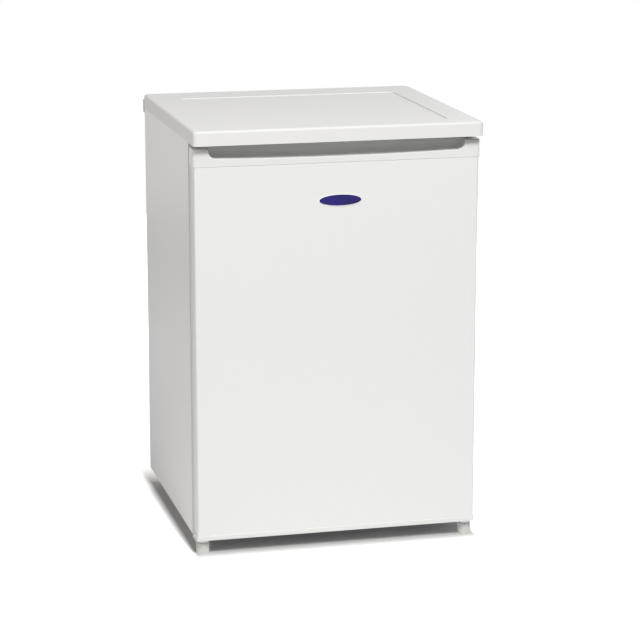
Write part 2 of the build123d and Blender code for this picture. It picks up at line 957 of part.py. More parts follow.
# Plate across the bay, with the gland for the mains lead in its rear lip
lip_back = cabinet_back - base_plate_gap
lip_front = lip_back - base_plate_sheet
gland_z = base_top + base_plate_lip / 2
with BuildPart() as cable_gland:
    for diameter, back, front in (
        (gland_flange, lip_back + gland_flange_length, lip_back),
        (gland_neck, lip_back, lip_front),
        (gland_flange, lip_front, lip_front - gland_inside),
    ):
        with BuildSketch(Plane.XZ.offset(-back)):
            with Locations((gland_x, gland_z)):
                Circle(diameter / 2)
                Circle(gland_bore / 2, mode=Mode.SUBTRACT)
        extrude(amount=back - front)
save(cable_gland, "cable_gland")

with BuildPart() as compressor_base_plate:
    plate_front = bay_front + base_plate_gap
    plate_low = cabinet_bottom + sheet
    lip = (plate_low, base_top + base_plate_lip)
    block(both(inner_side), (plate_front, lip_back), (plate_low, base_top))
    block(both(inner_side), (plate_front, plate_front + base_plate_sheet), lip)
    block(both(panel_side), (lip_front, lip_back), lip)
    with BuildSketch(Plane.XZ.offset(-lip_back)):
        with Locations((gland_x, gland_z)):
            Circle(gland_neck / 2)
    extrude(amount=base_plate_sheet, mode=Mode.SUBTRACT)
    add(compressor_bolts.part, mode=Mode.SUBTRACT)
save(compressor_base_plate, "compressor_base_plate")


# Brackets under the front corners; the right one also carries the door
stud_bottom = foot_floor + stud_end_gap
stud_radius = pin_diameter / 2
collar_top = plate_top + pin_collar


def foot_bracket(hand):
    """Cranked plate under a front corner, screwed to the cabinet's underside."""
    with BuildPart() as bracket:
        outer = hinge_x + bracket_nose
        back = cabinet_front + bracket_length
        step = cabinet_front + bracket_step_gap
        width = sided(hand, outer - bracket_width, outer)
        block(width, (step, back), (bracket_seat, cabinet_bottom))
        block(width, (step, step + bracket_sheet), (plate_bottom, cabinet_bottom))
        block(
            sided(hand, hinge_x - bracket_nose, outer),
            (hinge_y, step + bracket_sheet),
            (plate_bottom, plate_top),
        )
        with Locations((hand * hinge_x, hinge_y, (plate_bottom + plate_top) / 2)):
            Cylinder(bracket_nose, bracket_sheet)
        add(cabinet_screws.part, mode=Mode.SUBTRACT)
    return bracket


def turned(radius, low, high):
    """Round length of a pin or stud at the right-hand hinge line."""
    with Locations((hinge_x, hinge_y, (low + high) / 2)):
        Cylinder(radius, high - low)


with BuildPart() as bottom_hinge_pin:
    turned(stud_radius, stud_bottom, plate_top)
    turned(pin_collar_diameter / 2, plate_top, collar_top)
    turned(stud_radius, collar_top, door_bottom + pin_reach)
save(bottom_hinge_pin, "bottom_hinge_pin")

bottom_hinge_bracket = foot_bracket(1)
with bottom_hinge_bracket:
    add(bottom_hinge_pin.part, mode=Mode.SUBTRACT)
save(bottom_hinge_bracket, "bottom_hinge_bracket")

left_foot_bracket = foot_bracket(-1)
with left_foot_bracket:
    for radius, low, high in (
        (stud_radius, stud_bottom, plate_bottom),
        (pin_collar_diameter / 2, plate_top, collar_top),
    ):
        with Locations((-hinge_x, hinge_y, (low + high) / 2)):
            Cylinder(radius, high - low)
save(left_foot_bracket, "left_foot_bracket")

with BuildPart() as top_hinge_bracket:
    back = screw_front + screw_pitch + bracket_nose
    block(
        (hinge_x - bracket_nose, hinge_x + bracket_nose),
        (hinge_y, back),
        (cabinet_top, cabinet_top + bracket_sheet),
    )
    turned(bracket_nose, cabinet_top, cabinet_top + bracket_sheet)
    turned(stud_radius, door_top - pin_reach, cabinet_top)
    add(cabinet_screws.part, mode=Mode.SUBTRACT)
save(top_hinge_bracket, "top_hinge_bracket")


# Front feet: a ribbed plastic knob on a threaded insert that climbs the stud
def front_foot(hand):
    """Ribbed foot; its bore takes the threaded insert."""
    with BuildPart() as foot:
        with Locations((hand * hinge_x, hinge_y, foot_height / 2)):
            Cylinder(foot_diameter / 2, foot_height)
        chamfer(foot.faces().sort_by(Axis.Z)[0].edges(), foot_chamfer)
        chamfer(foot.faces().sort_by(Axis.Z)[-1].edges(), foot_chamfer)
        with BuildSketch(Plane.XY.offset(foot_floor)):
            with Locations((hand * hinge_x, hinge_y)):
                Circle(insert_diameter / 2 + pin_play)
        extrude(amount=foot_height - foot_floor, mode=Mode.SUBTRACT)
        with BuildSketch(Plane.XY.offset(foot_floor)):
            with Locations((hand * hinge_x, hinge_y)):
                with PolarLocations(foot_diameter / 2, foot_ribs):
                    Circle(foot_rib_radius)
        extrude(amount=foot_height - foot_floor, mode=Mode.SUBTRACT)
    return foot


def foot_insert(hand):
    """Threaded insert that slides with its foot along the stud."""
    with BuildPart() as insert:
        with BuildSketch(Plane.XY.offset(foot_floor + insert_play)):
            with Locations((hand * hinge_x, hinge_y)):
                Circle(insert_diameter / 2)
                Circle(stud_radius + pin_play, mode=Mode.SUBTRACT)
        extrude(amount=foot_height - foot_floor - 2 * insert_play)
    return insert


for hand, side_name in ((-1, "left"), (1, "right")):
    save(front_foot(hand), f"front_foot_{side_name}")
    save(foot_insert(hand), f"foot_insert_{side_name}")

with BuildPart() as rear_feet:
    for hand in (-1, 1):
        with BuildSketch(Plane.XY):
            with Locations((hand * (cabinet_side - rear_foot_inset), cabinet_back - rear_foot_from_back)):
                Circle(rear_foot_diameter / 2)
        extrude(amount=cabinet_bottom + sheet)
    fillet(rear_feet.faces().group_by(Axis.Z)[0].edges(), rear_foot_edge)
save(rear_feet, "rear_feet")


# Glass shelves, with the crisper's cover as the lowest, and the trims on their long edges
def pane(height):
    """One sheet of shelf glass at a height."""
    with BuildPart() as sheet_of_glass:
        with BuildSketch(Plane.XY.offset(height)):
            with Locations((0, (shelf_front + shelf_back) / 2)):
                RectangleRounded(
                    2 * (cavity_side - glass_gap),
                    shelf_back - shelf_front,
                    glass_corner,
                )
        extrude(amount=glass)
    return sheet_of_glass


panes = {f"{name}_glass": pane(height) for name, height in shelf_heights.items()}
for name, sheet_of_glass in panes.items():
    save(sheet_of_glass, name)

trim_half = cavity_side - ledge_width - trim_end_gap
with BuildPart() as shelf_trims:
    for height in shelf_heights.values():
        lap = (height - trim_lap, height + glass + trim_lap)
        block(both(trim_half), (shelf_front - trim_lap, shelf_front + trim_depth), lap)
        block(both(trim_half), (shelf_back - trim_depth, shelf_back + trim_lap), lap)
    fillet(shelf_trims.edges().filter_by(Axis.X), trim_lap / 2)
    for sheet_of_glass in panes.values():
        add(sheet_of_glass.part, mode=Mode.SUBTRACT)
save(shelf_trims, "shelf_trims")


# Crisper drawer on the liner's floor
crisper_half = cavity_side - liner_radius - crisper_gap
crisper_front = shelf_front + crisper_front_gap
crisper_back = step_front - liner_radius - crisper_gap
crisper_bottom = cavity_bottom + crisper_lift
crisper_top = crisper_bottom + crisper_height
with BuildPart() as crisper_drawer:
    block(both(crisper_half), (crisper_front, crisper_back), (crisper_bottom, crisper_top))
    fillet(crisper_drawer.edges().filter_by(Axis.Z), crisper_corner)
    fillet(crisper_drawer.faces().sort_by(Axis.Z)[0].edges(), crisper_corner / 2)
    block(
        both(grip_length / 2),
        (crisper_front - grip_depth, crisper_front),
        (crisper_top - grip_height, crisper_top),
    )
    with BuildSketch(Plane.XY.offset(crisper_bottom + crisper_wall)):
        with Locations((0, (crisper_front + crisper_back) / 2)):
            RectangleRounded(
                2 * (crisper_half - crisper_wall),
                crisper_back - crisper_front - 2 * crisper_wall,
                crisper_corner - crisper_wall,
            )
    extrude(amount=crisper_height, mode=Mode.SUBTRACT)
    block(
        both(grip_length / 2 - crisper_wall),
        (crisper_front - grip_depth + crisper_wall, crisper_front - crisper_wall),
        (crisper_top - grip_height, crisper_top - crisper_wall),
        mode=Mode.SUBTRACT,
    )
save(crisper_drawer, "crisper_drawer")


# Thermostat box on the right wall, with the knob and the lamp
box_left = cavity_side - box_depth
box_front = cabinet_front + box_from_front
box_back = box_front + box_length
box_middle = (box_bottom + box_top) / 2
knob_y = box_front + knob_from_front
window_end = box_back - lamp_window_from_back
window_start = window_end - lamp_window_length
window_span = (box_middle - lamp_window_height / 2, box_middle + lamp_window_height / 2)
lamp_x = cavity_side - box_depth / 2
lamp_seat = box_back - box_wall

with BuildPart() as thermostat_housing:
    block((box_left, cavity_side), (box_front, box_back), (box_bottom, box_top))
    fillet(thermostat_housing.faces().sort_by(Axis.X)[0].edges(), box_edge)
    block(
        (box_left + box_wall, cavity_side),
        (box_front + box_wall, box_back - box_wall),
        (box_bottom + box_wall, box_top - box_wall),
        mode=Mode.SUBTRACT,
    )
    block((box_left, box_left + box_wall), (window_start, window_end), window_span, Mode.SUBTRACT)
    with BuildSketch(Plane.YZ.offset(box_left)):
        with Locations((knob_y, box_middle)):
            Circle(knob_shaft / 2 + pin_play)
    extrude(amount=box_wall, mode=Mode.SUBTRACT)
save(thermostat_housing, "thermostat_housing")

knob_face = box_left - knob_lift - knob_height
with BuildPart() as thermostat_knob:
    with BuildSketch(Plane.YZ.offset(knob_face)):
        with Locations((knob_y, box_middle)):
            Circle(knob_diameter / 2)
    extrude(amount=knob_height)
    fillet(thermostat_knob.faces().sort_by(Axis.X)[0].edges(), knob_edge)
    block(
        (knob_face - pointer_height, knob_face),
        (knob_y - pointer_width / 2, knob_y + pointer_width / 2),
        (box_middle, box_middle + pointer_length),
    )
    with BuildSketch(Plane.YZ.offset(knob_face)):
        with Locations((knob_y, box_middle)):
            Circle(knob_shaft / 2)
    extrude(amount=knob_height + box_depth / 2)
save(thermostat_knob, "thermostat_knob")

with BuildPart() as lamp_cover:
    block((box_left, box_left + lamp_cover_depth), (window_start, window_end), window_span)
save(lamp_cover, "lamp_cover")

with BuildPart() as lamp_bulb:
    with BuildSketch(Plane.XZ.offset(-lamp_seat)):
        with Locations((lamp_x, box_middle)):
            Circle(lamp_base_diameter / 2)
    extrude(amount=lamp_base_length)
    with Locations((lamp_x, lamp_seat - lamp_base_length - lamp_base_sink, box_middle)):
        Sphere(lamp_diameter / 2)
save(lamp_bulb, "lamp_bulb")


# Bushes in the door's four corners; the right-hand pair takes the hinge pins
with BuildPart() as hinge_bushes:
    for low, high, bore_low in (
        (door_bottom, door_bottom + bush_height, door_bottom),
        (door_top - bush_height, door_top, door_top - pin_reach - stud_end_gap),
    ):
        for hand in (-1, 1):
            with Locations((hand * hinge_x, hinge_y, (low + high) / 2)):
                Cylinder(bush_diameter / 2, high - low)
            with BuildSketch(Plane.XY.offset(bore_low)):
                with Locations((hand * hinge_x, hinge_y)):
                    Circle(stud_radius + pin_play)
            extrude(amount=pin_reach + stud_end_gap, mode=Mode.SUBTRACT)
save(hinge_bushes, "hinge_bushes")


# The handle recess as a solid: its floor is a shallow arc and its back edge is scooped
floor_end = door_top - recess_drop_end
overrun = door_top + recess_overrun
with BuildPart() as handle_recess:
    with BuildSketch(Plane.XZ.offset(-door_front)) as opening:
        with BuildLine():
            ThreePointArc(
                (-recess_half_width, floor_end),
                (0, door_top - recess_drop_middle),
                (recess_half_width, floor_end),
            )
            Polyline(
                (recess_half_width, floor_end),
                (recess_half_width, overrun),
                (-recess_half_width, overrun),
                (-recess_half_width, floor_end),
            )
        make_face()
        fillet(opening.vertices().group_by(Axis.Y)[0], recess_corner)
    extrude(amount=-recess_reach)
    fillet(handle_recess.faces().sort_by(Axis.Y)[-1].edges(), recess_scoop)

# Top trim of the door, which holds the recess
with BuildPart() as door_top_trim:
    block(both(door_side), (door_front, pan_front), (skin_top, door_top))
    front_face = door_top_trim.faces().sort_by(Axis.Y)[0]
    fillet(front_face.edges().filter_by(Axis.Z), trim_edge)
    top_face = door_top_trim.faces().sort_by(Axis.Z)[-1]
    fillet(top_face.edges().sort_by(Axis.Y)[0], trim_top_edge)
    front_face = door_top_trim.faces().sort_by(Axis.Y)[0]
    chamfer(front_face.edges().sort_by(Axis.Z)[0], trim_groove)
    add(handle_recess.part, mode=Mode.SUBTRACT)
    front_face = door_top_trim.faces().sort_by(Axis.Y)[0]
    lip_edges = front_face.edges().filter_by(
        lambda edge: edge.center().Z > skin_top + recess_lip + trim_groove
        and abs(edge.center().X) < recess_half_width - recess_lip
    )
    fillet(lip_edges, recess_lip)
    block(
        both(recess_half_width - recess_corner),
        (door_front + trim_wall, pan_front - trim_wall),
        (skin_top, door_top - recess_drop_middle - trim_wall),
        mode=Mode.SUBTRACT,
    )
    add(hinge_bushes.part, mode=Mode.SUBTRACT)
    for hand in (-1, 1):
        with Locations((hand * hinge_x, hinge_y, door_top)):
            Cylinder(stud_radius + pin_play, 2 * bush_height, mode=Mode.SUBTRACT)
save(door_top_trim, "door_top_trim")

with BuildPart() as door_bottom_trim:
    block(both(door_side), (door_front, pan_front), (door_bottom, skin_bottom))
    front_face = door_bottom_trim.faces().sort_by(Axis.Y)[0]
    fillet(front_face.edges().filter_by(Axis.Z), trim_edge)
    low_face = door_bottom_trim.faces().sort_by(Axis.Z)[0]
    fillet(low_face.edges().sort_by(Axis.Y)[0], trim_top_edge)
    front_face = door_bottom_trim.faces().sort_by(Axis.Y)[0]
    chamfer(front_face.edges().sort_by(Axis.Z)[-1], trim_groove)
    block(
        both(recess_half_width - recess_corner),
        (door_front + trim_wall, pan_front - trim_wall),
        (door_bottom + trim_wall, skin_bottom),
        mode=Mode.SUBTRACT,
    )
    for hand in (-1, 1):
        with Locations((hand * hinge_x, hinge_y, door_bottom)):
            Cylinder(bush_diameter / 2, 2 * bush_height, mode=Mode.SUBTRACT)
save(door_bottom_trim, "door_bottom_trim")


# Steel skin round the front and the two sides of the door
def skin_plan(inset):
    """Plan of the skin from the front back to the pan, smaller by inset."""
    with BuildSketch(Plane.XY.offset(skin_bottom)) as plan:
        with Locations((0, (skin_front + inset + pan_front) / 2)):
            Rectangle(2 * (skin_side - inset), pan_front - skin_front - inset)
        fillet(plan.vertices().group_by(Axis.Y)[0], skin_edge - inset)
    return plan.sketch


with BuildPart() as door_skin:
    add(skin_plan(0))
    extrude(amount=skin_top - skin_bottom)
    add(skin_plan(sheet))
    extrude(amount=skin_top - skin_bottom, mode=Mode.SUBTRACT)
save(door_skin, "door_skin")


# Inner face of the door: a shallow pan with a raised frame that reaches into the cabinet
dyke_low = cavity_bottom + dyke_gap
dyke_high = cavity_top - dyke_gap
bar_top = dyke_low + dyke_width


def door_pan(shrink):
    """The pan and its raised frame as one solid, smaller by shrink on every side."""
    with BuildPart() as pan:
        block(
            both(door_side - shrink),
            (pan_front + shrink, door_back - shrink),
            (door_bottom + shrink, door_top - shrink),
        )
        fillet(pan.faces().sort_by(Axis.Y)[-1].edges(), pan_radius - shrink)
        with BuildSketch(Plane.XZ.offset(shrink - door_back)):
            with Locations((0, (dyke_low + dyke_high) / 2)):
                width = 2 * (dyke_side - shrink)
                height = dyke_high - dyke_low - 2 * shrink
                opening_inset = 2 * (dyke_width - 2 * shrink)
                Rectangle(width, height)
                Rectangle(width - opening_inset, height - opening_inset, mode=Mode.SUBTRACT)
        extrude(amount=-dyke_height)
        fillet(pan.faces().sort_by(Axis.Y)[-1].edges(), dyke_radius - shrink)
    return pan


pan_inside = door_pan(liner_wall)
dairy_balcony_low = dyke_high - dyke_width - dairy_balcony_drop - dairy_balcony_height
balcony_places = {
    "bottle_balcony": (bar_top + bottle_balcony_rise, bottle_balcony_height),
    "middle_balcony": (bar_top + middle_balcony_rise, middle_balcony_height),
    "dairy_balcony": (dairy_balcony_low, dairy_balcony_height),
}
with BuildPart() as door_liner:
    add(door_pan(0).part)
    add(pan_inside.part, mode=Mode.SUBTRACT)
    block(
        both(skin_side - sheet),
        (pan_front, pan_front + liner_wall),
        (skin_bottom, skin_top),
        mode=Mode.SUBTRACT,
    )
    for low, height in balcony_places.values():
        for hand in (-1, 1):
            lug = dyke_side - dyke_width
            block(
                sided(hand, lug - lug_width, lug),
                (door_back + lug_from_pan, door_back + lug_from_pan + lug_depth),
                (low - lug_height, low),
            )
save(door_liner, "door_liner")

with BuildPart() as door_foam:
    add(skin_plan(sheet))
    extrude(amount=skin_top - skin_bottom)
    block(both(skin_side - sheet), (pan_front, pan_front + liner_wall), (skin_bottom, skin_top))
    add(pan_inside.part)
    add(hinge_bushes.part, mode=Mode.SUBTRACT)
    with Locations((-hinge_x, hinge_y, skin_bottom), (hinge_x, hinge_y, skin_bottom)):
        Cylinder(stud_radius + pin_play, bush_height, mode=Mode.SUBTRACT)
save(door_foam, "door_foam")


# Magnetic gasket round the door's inner face, just inside the hinge line
gasket_inset = door_side - hinge_x
gasket_tall = door_top - door_bottom - 2 * gasket_inset
with BuildPart() as door_gasket:
    with BuildSketch(Plane.XZ.offset(-door_back)):
        with Locations((0, (door_bottom + door_top) / 2)):
            Rectangle(2 * hinge_x, gasket_tall)
            Rectangle(2 * (hinge_x - gasket_width), gasket_tall - 2 * gasket_width, mode=Mode.SUBTRACT)
    extrude(amount=body_gap - gasket_gap)
    gasket_face = door_gasket.faces().sort_by(Axis.Y)[-1]
    fillet(gasket_face.edges(), gasket_edge)
    with BuildSketch(Plane.XZ.offset(body_gap - cabinet_front)):
        with Locations((0, (door_bottom + door_top) / 2)):
            groove = gasket_width - gasket_channel
            Rectangle(2 * hinge_x - groove, gasket_tall - groove)
            groove = gasket_width + gasket_channel
            Rectangle(2 * hinge_x - groove, gasket_tall - groove, mode=Mode.SUBTRACT)
    extrude(amount=gasket_groove, mode=Mode.SUBTRACT)
save(door_gasket, "door_gasket")

# Bare oval badge on the door
with BuildPart() as badge_plate:
    with BuildSketch(Plane.XZ.offset(-skin_front)):
        with Locations((badge_x, door_top - badge_drop)):
            Ellipse(badge_length / 2, badge_height / 2)
    extrude(amount=badge_thickness)
    fillet(badge_plate.faces().sort_by(Axis.Y)[0].edges(), badge_dome)
save(badge_plate, "badge_plate")


# Balconies that hang between the sides of the raised frame
def balcony(low, height):
    """Open bin on the door."""
    with BuildPart() as holder:
        half = dyke_side - dyke_width - balcony_gap
        middle = door_back + balcony_depth / 2
        with BuildSketch(Plane.XY.offset(low)):
            with Locations((0, middle)):
                RectangleRounded(2 * half, balcony_depth, balcony_edge)
        extrude(amount=height)
        with BuildSketch(Plane.XY.offset(low + balcony_wall)):
            with Locations((0, middle)):
                RectangleRounded(
                    2 * (half - balcony_wall),
                    balcony_depth - 2 * balcony_wall,
                    balcony_edge - balcony_wall,
                )
        extrude(amount=height, mode=Mode.SUBTRACT)
    return holder


for name, (low, height) in balcony_places.items():
    save(balcony(low, height), name)
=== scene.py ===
"""Looks of a free-standing larder refrigerator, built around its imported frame."""

import json
import logging
import math
from dataclasses import dataclass, field
from enum import Enum
from typing import Sequence

import bmesh
import bpy
from mathutils import Matrix, Vector


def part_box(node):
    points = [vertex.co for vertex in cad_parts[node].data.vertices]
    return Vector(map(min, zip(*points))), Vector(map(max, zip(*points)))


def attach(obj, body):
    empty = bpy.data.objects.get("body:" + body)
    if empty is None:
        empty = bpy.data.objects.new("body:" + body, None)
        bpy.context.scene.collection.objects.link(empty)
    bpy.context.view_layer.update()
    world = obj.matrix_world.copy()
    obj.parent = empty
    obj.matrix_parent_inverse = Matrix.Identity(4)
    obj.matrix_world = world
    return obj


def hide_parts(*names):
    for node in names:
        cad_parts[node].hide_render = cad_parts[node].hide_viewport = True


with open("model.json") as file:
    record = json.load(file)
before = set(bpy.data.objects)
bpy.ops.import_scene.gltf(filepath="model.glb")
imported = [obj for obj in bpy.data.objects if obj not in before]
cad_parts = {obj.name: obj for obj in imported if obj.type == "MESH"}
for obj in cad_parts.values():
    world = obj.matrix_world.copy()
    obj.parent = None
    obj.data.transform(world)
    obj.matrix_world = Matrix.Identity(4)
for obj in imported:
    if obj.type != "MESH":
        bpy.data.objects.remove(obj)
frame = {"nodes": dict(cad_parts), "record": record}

log = logging.getLogger("larder_refrigerator")

Colour = tuple[float, float, float]
Point = tuple[float, float, float]
Span = tuple[float, float]
Socket = bpy.types.NodeSocket
Shape = bmesh.types.BMesh

EVEN: Point = (1.0, 1.0, 1.0)
NOISE_SPAN: Span = (0.3, 0.7)
MERGE_DISTANCE = 1e-6
STRAIGHT_SHARE = 0.999


class Body(Enum):
    """The rigid bodies that new pieces ride on."""

    CABINET = "cabinet"
    DOOR = "door"
    CRISPER = "crisper_drawer"


class Recipe:
    """A material's node tree while it is being filled."""

    def __init__(self, name: str) -> None:
        """Starts an empty material around one shader.

        Args:
            name: Name of the material.
        """
        self.material = bpy.data.materials.new(name)
        self.material.use_nodes = True
        self.nodes = self.material.node_tree.nodes
        self.links = self.material.node_tree.links
        self.nodes.clear()
        self.shader = self.nodes.new("ShaderNodeBsdfPrincipled")
        output = self.nodes.new("ShaderNodeOutputMaterial")
        self.links.new(self.shader.outputs["BSDF"], output.inputs["Surface"])
        self.place = self.nodes.new("ShaderNodeTexCoord").outputs["Object"]

    def set(self, **values: float) -> None:
        """Sets sockets of the shader.

        Args:
            **values: Value of each socket under its name, with underscores for spaces.
        """
        for name, value in values.items():
            self.shader.inputs[name.replace("_", " ")].default_value = value

    def noise(self, size: float, detail: float = 2.0, factors: Point = EVEN) -> Socket:
        """Soft random pattern.

        Args:
            size: Width of its patches in metres.
            detail: Number of finer layers on top.
            factors: How many times denser it gets along X, Y and Z.

        Returns:
            A value between 0 and 1.
        """
        mapping = self.nodes.new("ShaderNodeMapping")
        mapping.inputs["Scale"].default_value = factors
        self.links.new(self.place, mapping.inputs["Vector"])
        texture = self.nodes.new("ShaderNodeTexNoise")
        texture.inputs["Scale"].default_value = 1.0 / size
        texture.inputs["Detail"].default_value = detail
        self.links.new(mapping.outputs["Vector"], texture.inputs["Vector"])
        return texture.outputs["Fac"]

    def cells(self, size: float, feature: str = "F1", output: str = "Distance") -> Socket:
        """Pattern of cells.

        Args:
            size: Width of a cell in metres.
            feature: Feature of the Voronoi texture.
            output: Which of its outputs is wanted.

        Returns:
            That output.
        """
        texture = self.nodes.new("ShaderNodeTexVoronoi")
        texture.feature = feature
        texture.inputs["Scale"].default_value = 1.0 / size
        self.links.new(self.place, texture.inputs["Vector"])
        return texture.outputs[output]

    def level(self, source: Socket, span: Span, result: Span) -> Socket:
        """Moves a value from one span to another.

        Args:
            source: The value.
            span: Its lowest and highest level that matter.
            result: What those two become.

        Returns:
            The new value.
        """
        ranger = self.nodes.new("ShaderNodeMapRange")
        ranger.interpolation_type = "SMOOTHSTEP"
        for name, value in zip(("From Min", "From Max", "To Min", "To Max"), (*span, *result)):
            ranger.inputs[name].default_value = value
        self.links.new(source, ranger.inputs["Value"])
        return ranger.outputs["Result"]

    def upward(self) -> Socket:
        """How much the surface faces up.

        Returns:
            A value between -1, straight down, and 1, straight up.
        """
        split = self.nodes.new("ShaderNodeSeparateXYZ")
        direction = self.nodes.new("ShaderNodeTexCoord")
        self.links.new(direction.outputs["Normal"], split.inputs["Vector"])
        return split.outputs["Z"]

    def arithmetic(self, operation: str, *values: Socket) -> Socket:
        """Works out one value from one or two others.

        Args:
            operation: Operation of the node.
            *values: Its values.

        Returns:
            The result.
        """
        node = self.nodes.new("ShaderNodeMath")
        node.operation = operation
        for value, socket in zip(values, node.inputs):
            self.links.new(value, socket)
        return node.outputs["Value"]

    def tint(self, share: Socket, low: Colour, high: Colour) -> None:
        """Colours the surface by a pattern.

        Args:
            share: Share of the second colour.
            low: Colour where the share is 0.
            high: Colour where the share is 1.
        """
        mixer = self.nodes.new("ShaderNodeMix")
        mixer.data_type = "RGBA"
        mixer.inputs["A"].default_value = (*low, 1.0)
        mixer.inputs["B"].default_value = (*high, 1.0)
        self.links.new(share, mixer.inputs["Factor"])
        self.links.new(mixer.outputs["Result"], self.shader.inputs["Base Color"])

    def mottle(self, share: Socket, colour: Colour, factors: Span) -> None:
        """Colours the surface in two tones of one colour, by a pattern."""
        self.tint(share, *(tuple(channel * factor for channel in colour) for factor in factors))

    def roughen(self, pattern: Socket, base: float, spread: Span, span: Span = NOISE_SPAN) -> None:
        """Varies the roughness by a pattern.

        Args:
            pattern: The pattern.
            base: Roughness of the finish.
            spread: What is added to it where the pattern is lowest and highest.
            span: The pattern's lowest and highest level that matter.
        """
        result = self.level(pattern, span, (base + spread[0], base + spread[1]))
        self.links.new(result, self.shader.inputs["Roughness"])

    def relief(self, *layers: tuple[Socket, float]) -> None:
        """Raises the surface by patterns.

        Args:
            *layers: Each pattern with its depth in metres.
        """
        normal = None
        for pattern, depth in layers:
            bump = self.nodes.new("ShaderNodeBump")
            bump.inputs["Strength"].default_value = 1.0
            bump.inputs["Distance"].default_value = depth
            self.links.new(pattern, bump.inputs["Height"])
            if normal is not None:
                self.links.new(normal, bump.inputs["Normal"])
            normal = bump.outputs["Normal"]
        self.links.new(normal, self.shader.inputs["Normal"])


@dataclass(frozen=True)
class Finish:
    """Finish of a surface, named after its slot."""

    name: str

    def material(self) -> bpy.types.Material:
        """Builds the material."""
        raise NotImplementedError


@dataclass(frozen=True)
class BakedPaint(Finish):
    """Sprayed and baked paint on sheet steel, with its faint orange peel."""

    colour: Colour
    roughness: float = 0.32
    spread: Span = (-0.02, 0.03)
    specular: float = 0.32
    tones: Span = (0.985, 1.015)
    speck_size: float = 0.0016
    peel_size: float = 0.004
    peel_depth: float = 0.000010

    def material(self) -> bpy.types.Material:
        """Builds the material.

        Returns:
            The material, with its nodes in place.
        """
        recipe = Recipe(self.name)
        recipe.set(Specular_IOR_Level=self.specular)
        recipe.mottle(recipe.noise(self.speck_size), self.colour, self.tones)
        peel = recipe.noise(self.peel_size, detail=1.0)
        recipe.roughen(peel, self.roughness, self.spread)
        recipe.relief((peel, self.peel_depth))
        return recipe.material


@dataclass(frozen=True)
class MouldedPlastic(Finish):
    """Injection-moulded plastic with the fine grain of its mould."""

    colour: Colour
    roughness: float = 0.4
    grain_size: float = 0.0007
    grain_depth: float = 0.000014
    spread: Span = (-0.015, 0.02)
    specular: float = 0.35
    tones: Span = (0.975, 1.01)
    flow_size: float = 0.12
    wear_size: float = 0.02
    pore_width_share: float = 2.2
    pore_depth_share: float = 0.6

    def material(self) -> bpy.types.Material:
        """Builds the material.

        Returns:
            The material, with its nodes in place.
        """
        recipe = Recipe(self.name)
        recipe.set(Specular_IOR_Level=self.specular)
        recipe.mottle(recipe.noise(self.flow_size, detail=3.0), self.colour, self.tones)
        recipe.roughen(recipe.noise(self.wear_size, detail=3.0), self.roughness, self.spread)
        grain = recipe.noise(self.grain_size)
        pores = recipe.cells(self.grain_size * self.pore_width_share)
        recipe.relief((grain, self.grain_depth), (pores, self.grain_depth * self.pore_depth_share))
        return recipe.material


@dataclass(frozen=True)
class VacuumFormedSheet(Finish):
    """Glossy polystyrene sheet drawn over a mould, uneven where it was stretched."""

    colour: Colour
    roughness: float = 0.18
    spread: Span = (0.0, 0.08)
    tones: Span = (0.98, 1.0)
    cloud_size: float = 0.2
    haze_size: float = 0.05
    stretch_size: float = 0.05
    stretch_factors: Point = (1.0, 1.0, 0.3)
    stretch_depth: float = 0.00025
    speck_size: float = 0.003
    speck_depth: float = 0.00001

    def material(self) -> bpy.types.Material:
        """Builds the material.

        Returns:
            The material, with its nodes in place.
        """
        recipe = Recipe(self.name)
        recipe.mottle(recipe.noise(self.cloud_size), self.colour, self.tones)
        recipe.roughen(recipe.noise(self.haze_size, detail=3.0), self.roughness, self.spread)
        stretch = recipe.noise(self.stretch_size, detail=1.0, factors=self.stretch_factors)
        specks = recipe.noise(self.speck_size, detail=1.0)
        recipe.relief((stretch, self.stretch_depth), (specks, self.speck_depth))
        return recipe.material


@dataclass(frozen=True)
class ClearPlastic(Finish):
    """Clear polystyrene of the bins, a little smoky where it is thick."""

    colour: Colour
    roughness: float = 0.09
    spread: Span = (0.0, 0.16)
    clearness: float = 0.88
    refraction: float = 1.3
    tones: Span = (0.97, 1.0)
    cloud_size: float = 0.05
    scuff_size: float = 0.012
    scuff_span: Span = (0.45, 0.8)
    flow_size: float = 0.018
    flow_depth: float = 0.00005

    def material(self) -> bpy.types.Material:
        """Builds the material.

        Returns:
            The material, with its nodes in place.
        """
        recipe = Recipe(self.name)
        recipe.set(Transmission_Weight=self.clearness, IOR=self.refraction)
        recipe.mottle(recipe.noise(self.cloud_size), self.colour, self.tones)
        recipe.roughen(recipe.noise(self.scuff_size, detail=5.0), self.roughness, self.spread, self.scuff_span)
        recipe.relief((recipe.noise(self.flow_size), self.flow_depth))
        return recipe.material


@dataclass(frozen=True)
class FloatGlass(Finish):
    """Toughened shelf glass, clear through its faces and green through its edges."""

    face: Colour
    edge: Colour
    roughness: float = 0.01
    spread: Span = (0.0, 0.04)
    specular: float = 0.6
    clearness: float = 0.95
    refraction: float = 1.2
    face_span: Span = (0.3, 0.8)
    breath_size: float = 0.04
    breath_span: Span = (0.5, 0.8)
    wave_size: float = 0.12
    wave_depth: float = 0.00004

    def material(self) -> bpy.types.Material:
        """Builds the material.

        Returns:
            The material, with its nodes in place.
        """
        recipe = Recipe(self.name)
        recipe.set(Transmission_Weight=self.clearness, IOR=self.refraction, Specular_IOR_Level=self.specular)
        flat = recipe.arithmetic("ABSOLUTE", recipe.upward())
        recipe.tint(recipe.level(flat, self.face_span, (0.0, 1.0)), self.edge, self.face)
        recipe.roughen(recipe.noise(self.breath_size, detail=4.0), self.roughness, self.spread, self.breath_span)
        recipe.relief((recipe.noise(self.wave_size, detail=1.0), self.wave_depth))
        return recipe.material


